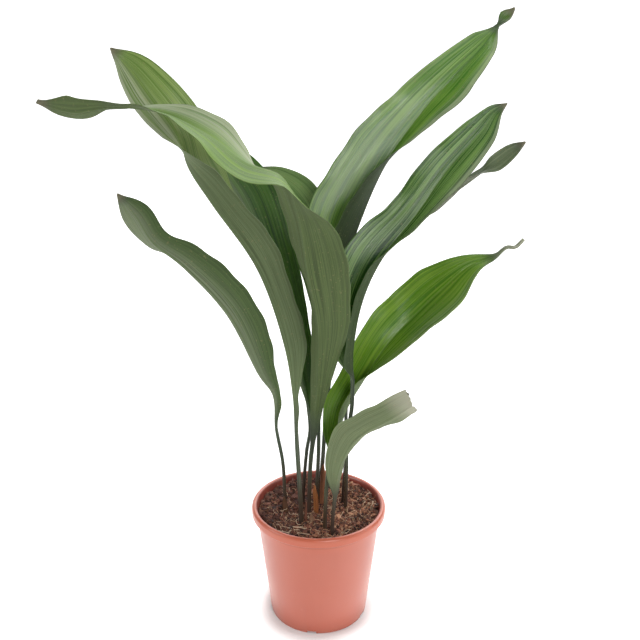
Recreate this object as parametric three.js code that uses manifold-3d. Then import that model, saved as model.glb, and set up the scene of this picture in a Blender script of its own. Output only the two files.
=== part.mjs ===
// A potted cast iron plant: ten long leaves on single stalks rise from one
// buried rhizome in a plastic nursery pot.  Millimetres, +Z up; the origin is
// the middle of the pot's underside.
import * as THREE from 'three';
import { mergeVertices } from 'three/addons/utils/BufferGeometryUtils.js';
import Module from 'manifold-3d';

// ---------------------------------------------------------------- sizes
const POT_HEIGHT = 151.5;
const POT_RIM_RADIUS = 85;
const POT_TOP_RADIUS = 78.3; // outside of the wall just under the lip
const POT_BASE_RADIUS = 62.5;
const POT_WALL = 1.6;
const LIP_DEPTH = 11.5;
const LIP_SKIRT = 1.9; // thickness of the lip's hanging skirt
const FOOT_HEIGHT = 3.2; // the floor stands this high above the ground
const FLOOR_THICKNESS = 1.8;
const FOOT_SLOTS = 5;
const FOOT_SLOT_WIDTH = 11.5;
const FOOT_SLOT_START = -98; // degrees from +X, the slot nearest the front
const FOOT_RING_WIDTH = 4.5;
const DRAIN_RADIUS = 4.5;
const DRAIN_INSET = 13; // drain hole's centre, inwards from the base's edge
const PAD_RADIUS = 9; // flat moulding pad in the middle of the underside
const POT_SEGMENTS = 40;

const GAP = 0.35; // clearance between neighbouring pieces
const SOIL_LEVEL = 137;
const SOIL_RINGS = 9;
const RHIZOME_Z = 116;
const RHIZOME_RADIUS = 5.5;
const STALK_FOOT_Z = 123.1;

const BLADE_THICKNESS = 0.9;
const LEAF_ROWS = 30; // stations along a leaf
const BURIED_ROWS = 5; // stations that pass through the soil, and a few above
const RING = 14; // points round a leaf's section, seven on each face
const RIPPLE = 0.055; // radians of margin wave per millimetre of leaf

// ---------------------------------------------------------------- leaves
// Each leaf is a midrib curve with, at every key, the roll of the blade about
// the midrib (degrees), how far each half is folded up (degrees, and down where
// it is negative) and the half width.  lean is the compass direction the leaf
// leans to (degrees from +X), curl turns the margins up further (degrees), wave
// is the height of the margin waves, skew widens one half, and tear is how far
// a torn end is slanted.
const LEAVES = [
  {
    name: 'leaf_low_left',
    lean: 190,
    curl: 12,
    wave: 1.6,
    color: 0x5d7a45,
    keys: [
      [-42, 5, STALK_FOOT_Z, 0, 0, 2.2],
      [-43, 5, 150, 0, 0, 2.2],
      [-45, 5, 205, 0, 0, 2.2],
      [-52, 0, 255, -5, 30, 4],
      [-55, 0, 300, -5, 50, 12],
      [-70, -10, 330, 5, 60, 22],
      [-105, -20, 410, 10, 60, 38],
      [-150, -35, 470, 30, 40, 30],
      [-180, -45, 500, 60, 20, 20],
      [-195, -50, 530, 80, 10, 17],
      [-210, -60, 555, 85, 5, 1],
    ],
  },
  {
    name: 'leaf_high_left',
    lean: 172,
    curl: 10,
    wave: 2.2,
    skew: -0.08,
    color: 0x5f8a3c,
    keys: [
      [-22, -23, STALK_FOOT_Z, 0, 0, 2.8],
      [-22, -23, 150, 0, 0, 2.8],
      [-25, -25, 225, 5, 0, 2.8],
      [-30, -15, 305, 30, 40, 10],
      [-40, -10, 370, 45, 60, 27],
      [-70, -5, 460, 40, 50, 33],
      [-120, 0, 535, 25, 45, 37],
      [-145, 5, 575, -5, 40, 35],
      [-155, 10, 610, -40, 20, 31],
      [-185, 15, 655, -75, 10, 27],
      [-205, 20, 680, -80, 5, 18],
      [-225, 20, 700, -80, 5, 1],
    ],
  },
  {
    name: 'leaf_arching',
    lean: 180,
    curl: 8,
    wave: 1.5,
    color: 0x5a7040,
    keys: [
      [-12, 0, STALK_FOOT_Z, 0, 0, 2.6],
      [-12, 0, 150, 10, 0, 2.6],
      [-10, -5, 210, 45, 0, 2.6],
      [-5, -20, 265, 80, 30, 5],
      [0, -40, 345, 70, 40, 21],
      [0, -60, 410, 55, 40, 36],
      [-10, -85, 475, 50, 30, 42],
      [-20, -95, 540, 35, 5, 44],
      [-35, -110, 580, 15, -20, 42],
      [-70, -115, 595, -10, -10, 39],
      [-105, -110, 620, -15, 5, 36],
      [-150, -100, 640, -15, 15, 18],
      [-200, -95, 645, 35, 10, 8],
      [-240, -90, 640, 40, 10, 18],
      [-275, -85, 650, 40, 5, 1],
    ],
  },
  {
    name: 'leaf_inner_left',
    lean: 165,
    curl: 8,
    wave: 2,
    color: 0x2f5a24,
    keys: [
      [-20, 19, STALK_FOOT_Z, 0, 0, 2.2],
      [-20, 19, 150, 0, 0, 2.2],
      [-15, 20, 215, -20, 0, 2.2],
      [-10, 20, 250, -30, 20, 4],
      [-20, 25, 325, -45, 35, 15],
      [-35, 35, 395, -55, 20, 22],
      [-55, 40, 475, -60, 15, 25],
      [-80, 50, 540, -60, 15, 29],
      [-110, 55, 580, -60, 10, 20],
      [-125, 55, 605, -60, 5, 1],
    ],
  },
  {
    name: 'leaf_back',
    lean: 140,
    curl: 8,
    wave: 2,
    color: 0x4d7a38,
    keys: [
      [-3, 12, STALK_FOOT_Z, 0, 0, 2.4],
      [-3, 12, 150, 0, 0, 2.4],
      [0, 20, 215, 0, 0, 2.4],
      [0, 35, 270, 0, 15, 4],
      [0, 65, 345, -15, 35, 20],
      [5, 80, 410, -35, 25, 26],
      [-10, 95, 480, -50, 20, 33],
      [-30, 100, 520, -50, 10, 33],
      [-55, 110, 545, -50, 10, 19],
      [-75, 110, 560, -50, 5, 1],
    ],
  },
  {
    name: 'leaf_top_right',
    lean: 25,
    curl: 10,
    wave: 2.5,
    skew: 0.08,
    color: 0x6f9a4a,
    keys: [
      [1, 24, STALK_FOOT_Z, 0, 0, 2.6],
      [1, 24, 150, 0, 0, 2.6],
      [5, 25, 195, 0, 0, 2.6],
      [10, 30, 275, 0, 15, 2.8],
      [20, 35, 360, 0, 50, 12],
      [30, 40, 440, 5, 60, 41],
      [50, 50, 505, 10, 60, 60],
      [80, 65, 570, 20, 45, 48],
      [120, 80, 625, 40, 30, 38],
      [160, 90, 670, 70, 15, 29],
      [195, 100, 705, 75, 10, 18],
      [210, 105, 725, 50, 30, 2.6],
      [220, 110, 735, 45, 10, 8],
      [230, 110, 745, 40, 5, 1],
    ],
  },
  {
    name: 'leaf_mid_right',
    lean: 15,
    curl: 8,
    wave: 2,
    color: 0x3a6a30,
    keys: [
      [35, 9, STALK_FOOT_Z, 0, 0, 2.4],
      [35, 9, 150, 0, 0, 2.4],
      [35, 0, 195, 0, 0, 2.4],
      [35, -10, 245, 0, 0, 2.4],
      [40, -20, 295, 0, 0, 2.4],
      [40, -25, 330, 0, 50, 3.5],
      [40, -20, 365, 15, 55, 22],
      [50, -10, 420, 20, 50, 39],
      [70, 0, 465, 20, 45, 41],
      [110, 15, 515, 30, 30, 33],
      [150, 30, 570, 55, 20, 28],
      [185, 40, 610, 65, 10, 20],
      [200, 45, 630, 70, 10, 10],
      [215, 50, 640, 70, 5, 1],
    ],
  },
  {
    name: 'leaf_behind_right',
    lean: 15,
    curl: 6,
    wave: 1.5,
    color: 0x6a7f5c,
    keys: [
      [32, 24, STALK_FOOT_Z, 0, 0, 2.2],
      [32, 24, 150, 0, 0, 2.2],
      [35, 25, 205, 0, 0, 2.2],
      [35, 30, 280, 0, 25, 3],
      [40, 35, 350, -10, 50, 10],
      [50, 40, 410, -30, 45, 18],
      [75, 45, 460, -50, 35, 24],
      [115, 50, 510, -60, 20, 25],
      [160, 60, 535, -60, 20, 16],
      [195, 65, 560, 0, 20, 8],
      [210, 65, 570, 50, 10, 11],
      [230, 70, 585, 55, 10, 9],
      [245, 70, 595, 55, 5, 1],
    ],
  },
  {
    name: 'leaf_bright_right',
    lean: 20,
    curl: 10,
    wave: 2,
    color: 0x6f9c22,
    keys: [
      [8, -39, STALK_FOOT_Z, 0, 0, 2.4],
      [8, -39, 150, 0, 0, 2.4],
      [10, -35, 195, 0, 0, 2.4],
      [15, -20, 230, 5, 25, 4],
      [25, -5, 255, 15, 50, 20],
      [35, 5, 280, 15, 55, 30],
      [55, 20, 310, 30, 60, 37],
      [85, 30, 355, 40, 40, 40],
      [115, 40, 385, 30, 20, 40],
      [150, 45, 420, 30, 5, 36],
      [185, 50, 450, 40, 5, 16],
      [215, 55, 460, 50, 10, 4],
      [230, 60, 470, 20, 10, 2.5],
      [240, 60, 470, -20, 10, 3],
      [250, 60, 480, 0, 5, 1],
    ],
  },
  {
    name: 'leaf_low_right',
    lean: -40,
    curl: 8,
    wave: 1.2,
    tear: -6,
    color: 0x7c8f68,
    keys: [
      [17, -48, STALK_FOOT_Z, 0, 0, 2.2],
      [17, -48, 150, 0, 0, 2.2],
      [20, -50, 190, -10, 15, 3.5],
      [25, -55, 230, -25, 40, 18],
      [40, -60, 265, -35, 35, 28],
      [55, -70, 285, -40, 30, 25],
      [80, -80, 305, -40, 20, 24],
      [105, -85, 325, -40, 15, 22],
    ],
  },
];

// Papery brown sheaths round the feet of some stalks.
const SHEATH_CURL = 70;
const SHEATH_FOLD = 30;
const SHEATHS = [
  { name: 'sheath_orange', at: [-4, -3.5], tip: [-5, -4], top: 178, width: 4.2, face: 250 },
  { name: 'sheath_back', at: [4, 17], tip: [6, 16], top: 197, width: 5, face: 260 },
  { name: 'sheath_left', at: [-42, -0.5], tip: [-44, -1], top: 160, width: 4, face: 270 },
  { name: 'sheath_front', at: [-15, -18.5], tip: [-15.5, -19], top: 163, width: 3.4, face: 330 },
  { name: 'sheath_low', at: [-8.5, -25], tip: [-9, -27], top: 152, width: 3.4, face: 280 },
];

// ---------------------------------------------------------------- helpers
const wasm = await Module();
wasm.setup();
const rad = THREE.MathUtils.degToRad;

function toSolid(geometry) {
  const bare = geometry.clone();
  bare.deleteAttribute('normal');
  bare.deleteAttribute('uv');
  const merged = mergeVertices(bare, 1e-4);
  const mesh = new wasm.Mesh({
    numProp: 3,
    vertProperties: new Float32Array(merged.attributes.position.array),
    triVerts: new Uint32Array(merged.index.array),
  });
  return new wasm.Manifold(mesh);
}

function fromSolid(solid) {
  const mesh = solid.getMesh();
  const geometry = new THREE.BufferGeometry();
  geometry.setAttribute('position', new THREE.BufferAttribute(mesh.vertProperties, 3));
  geometry.setIndex(new THREE.BufferAttribute(mesh.triVerts, 1));
  geometry.computeVertexNormals();
  return geometry;
}

function asMesh(name, geometry, color, roughness) {
  const material = new THREE.MeshStandardMaterial({ color, roughness, metalness: 0 });
  const mesh = new THREE.Mesh(geometry, material);
  mesh.name = name;
  return mesh;
}

function smooth(a, b, x) {
  const t = Math.min(1, Math.max(0, (x - a) / (b - a)));
  return t * t * (3 - 2 * t);
}

// ---------------------------------------------------------------- pot
function potRadius(z) {
  const slope = (POT_TOP_RADIUS - POT_BASE_RADIUS) / (POT_HEIGHT - LIP_DEPTH);
  return POT_BASE_RADIUS + slope * z;
}

function makePot() {
  const top = POT_HEIGHT;
  const rim = POT_RIM_RADIUS;
  const skirt = rim - LIP_SKIRT;
  const under = top - LIP_DEPTH;
  const floor = FOOT_HEIGHT + FLOOR_THICKNESS;
  const foot = POT_BASE_RADIUS - FOOT_RING_WIDTH;
  const profile = [
    [0, 0],
    [PAD_RADIUS, 0],
    [PAD_RADIUS + 1, FOOT_HEIGHT],
    [foot - 0.8, FOOT_HEIGHT],
    [foot, 0],
    [POT_BASE_RADIUS - 1.2, 0],
    [POT_BASE_RADIUS, 1.4],
    [potRadius(70), 70],
    [potRadius(under), under],
    [potRadius(top - 4.5), top - 4.5],
    [potRadius(top - 4) + 1, top - 3.4],
    [skirt - 0.8, top - 3.4],
    [skirt, top - 4.5],
    [skirt, under + 0.4],
    [rim - 1, under],
    [rim - 0.2, under + 0.9],
    [rim, top - 4],
    [rim - 0.6, top - 1.9],
    [rim - 2, top - 0.5],
    [rim - 3.6, top],
    [rim - 5.4, top - 0.6],
    [rim - 6.6, top - 2.4],
    [potRadius(top - 6) - POT_WALL, top - 6],
    [potRadius(70) - POT_WALL, 70],
    [potRadius(floor + 2) - POT_WALL, floor + 2],
    [potRadius(floor) - POT_WALL - 2, floor],
    [0, floor],
  ];
  const points = profile.map(([r, z]) => new THREE.Vector2(r, z));
  const lathe = new THREE.LatheGeometry(points, POT_SEGMENTS);
  lathe.rotateX(Math.PI / 2);
  let pot = toSolid(lathe);
  for (let i = 0; i < FOOT_SLOTS; i++) {
    const angle = rad(FOOT_SLOT_START + (360 / FOOT_SLOTS) * i);
    const slot = new THREE.BoxGeometry(30, FOOT_SLOT_WIDTH, FOOT_HEIGHT + 1);
    slot.translate(POT_BASE_RADIUS, 0, (FOOT_HEIGHT - 1) / 2);
    slot.rotateZ(angle);
    pot = pot.subtract(toSolid(slot));
    const drain = new THREE.CylinderGeometry(DRAIN_RADIUS, DRAIN_RADIUS, 20, 16);
    drain.rotateX(Math.PI / 2);
    drain.translate(POT_BASE_RADIUS - DRAIN_INSET, 0, FOOT_HEIGHT);
    drain.rotateZ(angle);
    pot = pot.subtract(toSolid(drain));
  }
  return pot;
}

// ---------------------------------------------------------------- leaves
// One half of the section is an arc: it leaves the midrib at the fold angle
// and turns by curl on its way to the margin.
function arc(fold, curl, v) {
  if (Math.abs(curl) < 1e-4) {
    return [v * Math.cos(fold), v * Math.sin(fold)];
  }
  const end = fold + curl * v;
  return [(Math.sin(end) - Math.sin(fold)) / curl, (Math.cos(fold) - Math.cos(end)) / curl];
}

function leafStations(leaf) {
  const midrib = new THREE.CatmullRomCurve3(
    leaf.keys.map((k) => new THREE.Vector3(k[0], k[1], k[2])), false, 'centripetal');
  const form = new THREE.CatmullRomCurve3(
    leaf.keys.map((k) => new THREE.Vector3(k[3], k[4], k[5])), false, 'catmullrom', 0.5);
  const count = leaf.rows ?? LEAF_ROWS;
  const side = new THREE.Vector3(-Math.sin(rad(leaf.lean)), Math.cos(rad(leaf.lean)), 0);
  const rows = [];
  for (let i = 0; i < count; i++) {
    const u = i / (count - 1);
    const t = midrib.getUtoTmapping(u);
    const along = midrib.getTangent(t);
    const across = side.clone().addScaledVector(along, -side.dot(along)).normalize();
    const upward = along.clone().cross(across);
    const [roll, fold, width] = form.getPoint(t).toArray();
    const s = across.clone().multiplyScalar(Math.cos(rad(roll)));
    s.addScaledVector(upward, Math.sin(rad(roll)));
    rows.push({
      u,
      along,
      centre: midrib.getPoint(t),
      s,
      n: along.clone().cross(s),
      fold: rad(fold),
      width: Math.max(0.7, width),
      length: midrib.getLength(),
    });
  }
  return rows;
}

// The section point number k of a station; grow widens the leaf all round.
function sectionPoint(leaf, row, k, stalk, grow) {
  const angle = (2 * Math.PI * (k + 0.5)) / RING;
  const v = Math.cos(angle) / Math.cos(Math.PI / RING);
  const face = Math.sin(angle) > 0 ? 1 : -1;
  const half = v < 0 ? -1 : 1;
  const reach = Math.abs(v);
  const round = 1 - smooth(stalk + 0.2, stalk + 7, row.width);
  const blade = 1 - round;
  const fold = row.fold * blade;
  const curl = rad(leaf.curl) * blade;
  const [out, lift] = arc(fold, curl, reach);
  const ripple = Math.sin(row.u * row.length * RIPPLE + (half > 0 ? 0.4 : 2.3));
  const size = row.width * (1 + (leaf.skew ?? 0) * half * blade);
  const rise = lift * size + leaf.wave * blade * ripple * reach * reach;
  const slope = fold + curl * reach;
  const flat = BLADE_THICKNESS / 2;
  const keel = face < 0 && reach < 0.1 ? 0.5 * blade : 0;
  const bulge = (stalk - flat) * round * Math.sqrt(Math.max(0, 1 - reach * reach));
  const thick = (flat + bulge + grow) / (reach < 0.1 ? Math.cos(fold) : 1) + keel;
  const lean = reach < 0.1 ? 0 : slope;
  const dx = half * (out * size + grow * reach) - half * face * thick * Math.sin(lean);
  const dz = rise + face * thick * Math.cos(lean);
  const slant = row.u === 1 ? (leaf.tear ?? 0) * half * reach : 0;
  const point = row.centre.clone().addScaledVector(row.s, dx).addScaledVector(row.n, dz);
  return point.addScaledVector(row.along, slant);
}

// A cylinder wrapped to the leaf.  Each wall face is cut along the same
// diagonal on the upper and the lower face, so that twisted blades stay clear
// of themselves.
function makeLeaf(leaf, grow = 0, rowsUsed = 0) {
  const all = leafStations(leaf);
  const rows = rowsUsed ? all.slice(0, rowsUsed) : all;
  const last = rows.length - 1;
  const stalk = leaf.stalk ?? leaf.keys[0][5];
  const skin = new THREE.CylinderGeometry(1, 1, 1, RING, last);
  const stride = RING + 1;
  const at = skin.attributes.position;
  for (let i = 0; i <= last; i++) {
    for (let k = 0; k <= RING; k++) {
      const p = sectionPoint(leaf, rows[i], k % RING, stalk, grow);
      at.setXYZ(i * stride + k, p.x, p.y, p.z);
    }
  }
  const index = [];
  for (let i = 0; i < last; i++) {
    for (let k = 0; k < RING; k++) {
      const a = i * stride + k;
      const b = a + 1;
      const c = b + stride;
      const d = a + stride;
      if (k < RING / 2) {
        index.push(a, b, c, a, c, d);
      } else {
        index.push(a, b, d, b, c, d);
      }
    }
  }
  for (let k = 0; k < RING / 2 - 1; k++) {
    const across = RING - 1 - k;
    const end = last * stride;
    index.push(across, across - 1, k, across - 1, k + 1, k);
    index.push(end + k, end + k + 1, end + across - 1, end + k, end + across - 1, end + across);
  }
  skin.setIndex(index);
  return skin;
}

// ---------------------------------------------------------------- rhizome
// A short creeping stem with a knuckle under the foot of each stalk.
const RUNS = [
  [0, 2], [2, 4], [4, 5], [5, 7], [2, 1], [2, 3], [1, 8], [8, 9], [5, 6],
];

function limb(from, to, r1, r2, sides) {
  const length = from.distanceTo(to);
  const bar = new THREE.CylinderGeometry(r2, r1, length, sides);
  bar.translate(0, length / 2, 0);
  const up = new THREE.Vector3(0, 1, 0);
  const turn = new THREE.Quaternion().setFromUnitVectors(up, to.clone().sub(from).normalize());
  bar.applyQuaternion(turn);
  bar.translate(from.x, from.y, from.z);
  return toSolid(bar);
}

function makeRhizome(grow = 0) {
  const feet = LEAVES.map((leaf) => new THREE.Vector3(leaf.keys[0][0], leaf.keys[0][1], RHIZOME_Z));
  const pieces = [];
  feet.forEach((foot) => {
    const knob = new THREE.OctahedronGeometry(RHIZOME_RADIUS + 1.2 + grow, 1);
    knob.translate(foot.x, foot.y, foot.z);
    pieces.push(toSolid(knob));
  });
  for (const [a, b] of RUNS) {
    pieces.push(limb(feet[a], feet[b], RHIZOME_RADIUS + grow, RHIZOME_RADIUS - 0.6 + grow, 8));
  }
  return pieces.reduce((all, piece) => all.add(piece));
}

// ---------------------------------------------------------------- sheaths
// A sheath is a short pointed gutter of paper-thin scale that faces its stalk.
function sheathAsLeaf(sheath) {
  const [x, y] = sheath.at;
  const [tx, ty] = sheath.tip;
  const lift = sheath.top - STALK_FOOT_Z;
  return {
    name: sheath.name,
    lean: sheath.face,
    curl: SHEATH_CURL,
    wave: 0,
    stalk: 0.3,
    rows: 6,
    keys: [
      [x, y, STALK_FOOT_Z + 2, 0, SHEATH_FOLD, sheath.width * 0.8],
      [x, y, STALK_FOOT_Z + 0.35 * lift, 0, SHEATH_FOLD, sheath.width],
      [(x + tx) / 2, (y + ty) / 2, STALK_FOOT_Z + 0.7 * lift, 0, SHEATH_FOLD, sheath.width * 0.9],
      [tx, ty, sheath.top, 0, SHEATH_FOLD, 0.8],
    ],
  };
}

// ---------------------------------------------------------------- soil
// Rough potting bark, low at the front and heaped against the wall elsewhere.
function soilHeight(x, y) {
  const r = Math.hypot(x, y);
  const turn = Math.atan2(y, x);
  const heap = 7 * smooth(40, 76, r) * (0.5 + 0.5 * Math.cos(turn - rad(110)));
  const side = 3.5 * smooth(50, 76, r) * Math.max(0, Math.cos(turn - rad(10)));
  const lumps = 1.6 * Math.sin(x * 0.19 + 1.3) * Math.sin(y * 0.23 + 0.4);
  const grit = 0.9 * Math.sin(x * 0.47 + y * 0.31) + 0.7 * Math.sin(y * 0.61 - x * 0.37 + 2);
  return SOIL_LEVEL + heap + side + lumps + grit;
}

function makeSoil() {
  const floor = FOOT_HEIGHT + FLOOR_THICKNESS + GAP;
  const wall = (z) => potRadius(z) - POT_WALL - GAP;
  const points = [
    new THREE.Vector2(0, floor),
    new THREE.Vector2(wall(floor + 2) - 2.4, floor),
    new THREE.Vector2(wall(floor + 2), floor + 2),
    new THREE.Vector2(wall(70), 70),
    new THREE.Vector2(wall(134), 134),
  ];
  for (let i = 0; i <= SOIL_RINGS; i++) {
    points.push(new THREE.Vector2(wall(138) * (1 - i / SOIL_RINGS), SOIL_LEVEL + 1));
  }
  const lathe = new THREE.LatheGeometry(points, POT_SEGMENTS);
  lathe.rotateX(Math.PI / 2);
  const at = lathe.attributes.position;
  for (let i = 0; i < at.count; i++) {
    if (at.getZ(i) > SOIL_LEVEL) {
      at.setZ(i, soilHeight(at.getX(i), at.getY(i)));
    }
  }
  let soil = toSolid(lathe).subtract(makeRhizome(GAP));
  for (const leaf of LEAVES) {
    const [x, y, z] = leaf.keys[0];
    const socket = new THREE.CylinderGeometry(leaf.keys[0][5] + GAP, leaf.keys[0][5] + GAP, 8, 12);
    socket.rotateX(Math.PI / 2);
    socket.translate(x, y, z);
    soil = soil.subtract(toSolid(socket)).subtract(toSolid(makeLeaf(leaf, GAP, BURIED_ROWS)));
  }
  for (const sheath of SHEATHS) {
    soil = soil.subtract(toSolid(makeLeaf(sheathAsLeaf(sheath), GAP)));
  }
  return soil;
}

// ---------------------------------------------------------------- scene
const group = new THREE.Group();
group.add(asMesh('pot', fromSolid(makePot()), 0xce7c6c, 0.5));
group.add(asMesh('soil', fromSolid(makeSoil()), 0x6b4030, 0.95));
group.add(asMesh('rhizome', fromSolid(makeRhizome()), 0x8a6a48, 0.8));
for (const leaf of LEAVES) {
  group.add(asMesh(leaf.name, fromSolid(toSolid(makeLeaf(leaf))), leaf.color, 0.45));
}
for (const sheath of SHEATHS) {
  const solid = toSolid(makeLeaf(sheathAsLeaf(sheath)));
  group.add(asMesh(sheath.name, fromSolid(solid), 0x9a5a34, 0.8));
}

export default group;
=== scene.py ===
# %% [markdown]
# # A potted cast iron plant
#
# The object is a house plant in a plastic nursery pot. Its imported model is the
# fixed frame: every piece made here stands where the frame's node stands, in
# metres, with +Z up. The frame gives the true sizes, and this lesson adds what
# the eye sees: thin pleated blades, moulded plastic and rough potting bark.

import math
import random

import bmesh
import bpy
import numpy
from mathutils import Matrix, Vector, noise


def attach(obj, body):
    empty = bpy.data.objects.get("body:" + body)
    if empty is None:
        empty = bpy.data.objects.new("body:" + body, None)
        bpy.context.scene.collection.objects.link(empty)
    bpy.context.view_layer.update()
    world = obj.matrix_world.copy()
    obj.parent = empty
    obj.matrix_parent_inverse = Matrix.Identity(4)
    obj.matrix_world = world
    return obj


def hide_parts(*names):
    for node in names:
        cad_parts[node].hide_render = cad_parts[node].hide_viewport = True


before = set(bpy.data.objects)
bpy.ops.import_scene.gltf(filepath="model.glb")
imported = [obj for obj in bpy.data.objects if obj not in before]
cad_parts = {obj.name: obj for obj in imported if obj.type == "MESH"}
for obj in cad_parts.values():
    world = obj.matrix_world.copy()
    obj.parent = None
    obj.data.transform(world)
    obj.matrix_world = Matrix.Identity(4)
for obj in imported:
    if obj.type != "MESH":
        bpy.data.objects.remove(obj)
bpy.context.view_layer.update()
MM = 0.001
print("nodes in the frame:", len(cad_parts))

# %% [markdown]
# ## Camera
#
# A product shot of a plant is taken from a little above its middle, so that
# the soil shows inside the rim. The camera could be aimed by hand, but a place
# and a tilt as plain numbers are easier to repeat.

# %% Camera
CAMERA_PLACE = Vector((0.0018, -0.895, 0.694))
CAMERA_TILT = 18.4  # degrees below the horizon
CAMERA_LENS = 45

camera_data = bpy.data.cameras.new("camera")
camera_data.lens = CAMERA_LENS
camera = bpy.data.objects.new("camera", camera_data)
camera.location = CAMERA_PLACE
camera.rotation_euler = (math.radians(90 - CAMERA_TILT), 0, 0)
bpy.context.scene.collection.objects.link(camera)
bpy.context.scene.camera = camera
print("camera height:", round(CAMERA_PLACE.z, 3), "m")

# %% [markdown]
# ## Light
#
# Leaves are glossy, so they show what shines on them. Wide soft boxes give
# broad pale sheens in place of hard spots. One hangs overhead and a little
# behind for the sheen on the upper faces, two weaker ones fill the sides, and
# one beyond the camera lights the pot. The sky is nearly dark, because light
# from everywhere would wash the greens out.

# %% Soft boxes and sky
PLANT_MIDDLE = (0, 0, 0.4)
SOFT_BOXES = {
    # name: (place, width in metres, power in watts)
    "overhead": ((0.6, 1.2, 2.1), 2.4, 55),
    "left_fill": ((-1.8, -0.5, 1.2), 1.0, 18),
    "right_fill": ((1.8, -0.4, 1.0), 1.0, 9),
    "front": ((0.7, -2.1, 1.1), 0.9, 27),
}
SKY_STRENGTH = 0.1


def soft_box(name, place, width, power):
    """A square area lamp at a place, turned to shine at the plant."""
    data = bpy.data.lights.new(name, "AREA")
    data.size = width
    data.energy = power
    lamp = bpy.data.objects.new(name, data)
    lamp.location = place
    direction = Vector(PLANT_MIDDLE) - Vector(place)
    lamp.rotation_euler = direction.to_track_quat("-Z", "Y").to_euler()
    bpy.context.scene.collection.objects.link(lamp)


for name, (place, width, power) in SOFT_BOXES.items():
    soft_box(name, place, width, power)

world = bpy.data.worlds.new("studio")
world.use_nodes = True
sky = world.node_tree.nodes["Background"]
sky.inputs["Color"].default_value = (1, 1, 1, 1)
sky.inputs["Strength"].default_value = SKY_STRENGTH
bpy.context.scene.world = world
bpy.context.scene.view_settings.view_transform = "Standard"

# %% [markdown]
# ## Node materials in short
#
# Every finish here is a small graph of nodes. Written out in full, a graph of
# thirty nodes hides its idea, so a small class adds a node, sets its values
# and links it in one call. Most finishes are built up like paint: a base
# colour, and then tints laid over it where a mask is 1.


# %% A helper for finishes
class Finish:
    """A material whose nodes are added by short calls."""

    def __init__(self, name):
        self.material = bpy.data.materials.new(name)
        self.material.use_nodes = True
        self.tree = self.material.node_tree
        self.shader = self.tree.nodes["Principled BSDF"]
        self.output = self.tree.nodes["Material Output"]

    def set(self, socket, value):
        """Gives a socket a value, or links another node's output to it."""
        if isinstance(value, bpy.types.NodeSocket):
            self.tree.links.new(value, socket)
        elif isinstance(value, tuple) and len(value) == 3 and socket.type == "RGBA":
            socket.default_value = (*value, 1)
        else:
            socket.default_value = value

    def add(self, kind, inputs=(), **settings):
        """A new node; inputs is a list of (socket name or number, value)."""
        node = self.tree.nodes.new("ShaderNode" + kind)
        for name, value in settings.items():
            setattr(node, name, value)
        for key, value in inputs:
            self.set(node.inputs[key], value)
        return node

    def place(self):
        """Where a point of the surface is, in metres."""
        return self.add("TexCoord").outputs["Object"]

    def mark(self, name):
        """A value that each point of the mesh carries."""
        return self.add("Attribute", attribute_name=name).outputs["Fac"]

    def maths(self, operation, first, second=0.0, third=0.0):
        """One step of arithmetic."""
        inputs = [(0, first), (1, second), (2, third)]
        return self.add("Math", inputs, operation=operation).outputs[0]

    def length(self, vector):
        """How long a vector is."""
        return self.add("VectorMath", [(0, vector)], operation="LENGTH").outputs["Value"]

    def ramp(self, value, low, high):
        """0 below low, 1 above high, and smooth between them."""
        inputs = [("Value", value), ("From Min", low), ("From Max", high)]
        node = self.add("MapRange", inputs, interpolation_type="SMOOTHSTEP")
        return node.outputs["Result"]

    def fade(self, value, low, high):
        """1 below low, 0 above high, and smooth between them."""
        return self.maths("SUBTRACT", 1.0, self.ramp(value, low, high))

    def mix(self, amount, first, second, blend="MIX"):
        """A blend of two colours."""
        inputs = [(0, amount), (6, first), (7, second)]
        node = self.add("Mix", inputs, data_type="RGBA", blend_type=blend)
        return node.outputs[2]

    def tinge(self, base, mask, amount, tint):
        """Lays a tint over the base by an amount where the mask is 1."""
        return self.mix(self.maths("MULTIPLY", mask, amount), base, tint)

    def noise(self, place, scale, detail=3.0, rough=0.55):
        """A smooth random value from 0 to 1."""
        inputs = [("Vector", place), ("Scale", scale), ("Detail", detail), ("Roughness", rough)]
        return self.add("TexNoise", inputs).outputs["Fac"]

    def streak(self, place, scale, detail=3.0, rough=0.6):
        """Noise with a scale for each direction, which draws it out into streaks."""
        stretched = self.add("Mapping", [("Vector", place), ("Scale", scale)]).outputs[0]
        return self.noise(stretched, 1.0, detail, rough)

    def bump(self, height, strength, distance):
        """Tilts the surface as a relief of that height would."""
        inputs = [("Height", height), ("Strength", strength), ("Distance", distance)]
        self.set(self.shader.inputs["Normal"], self.add("Bump", inputs).outputs["Normal"])

    def look(self, **values):
        """Sets sockets of the main shader, with _ for a space in a name."""
        for name, value in values.items():
            self.set(self.shader.inputs[name.replace("_", " ")], value)


def shade(colour, times, plus=0.0):
    """A colour made darker or paler by arithmetic on its parts."""
    return tuple(min(1, times * part + plus) for part in colour)


def grey(value):
    """A colour with three equal parts."""
    return (value, value, value)


print("mid grey:", grey(0.5))

# %% [markdown]
# ## From a bmesh to a piece
#
# A bmesh is a mesh on the workbench. A piece is what the file keeps: a mesh
# with a finish, linked to the scene, with its place in its points and none in
# the object. A piece that shows in place of a frame node hides that node.


# %% Linking a piece
def link_mesh(name, bm, finish, smooth=True):
    """Ends a bmesh and shows it as a piece with one finish."""
    mesh = bpy.data.meshes.new(name)
    bm.to_mesh(mesh)
    bm.free()
    for face in mesh.polygons:
        face.use_smooth = smooth
    mesh.materials.append(finish.material)
    piece = bpy.data.objects.new(name, mesh)
    bpy.context.scene.collection.objects.link(piece)
    return piece


def stand_in(piece, node):
    """The piece shows in place of a frame node."""
    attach(piece, "root")
    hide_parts(node)
    print(piece.name, "has", len(piece.data.polygons), "faces")


# %% [markdown]
# ## Floor
#
# A pale sweep with no corner behind it keeps the eye on the plant. Its profile
# is a line on the floor that turns up a wide quarter circle into a wall, and
# extruding that line sideways makes the sheet.

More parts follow.
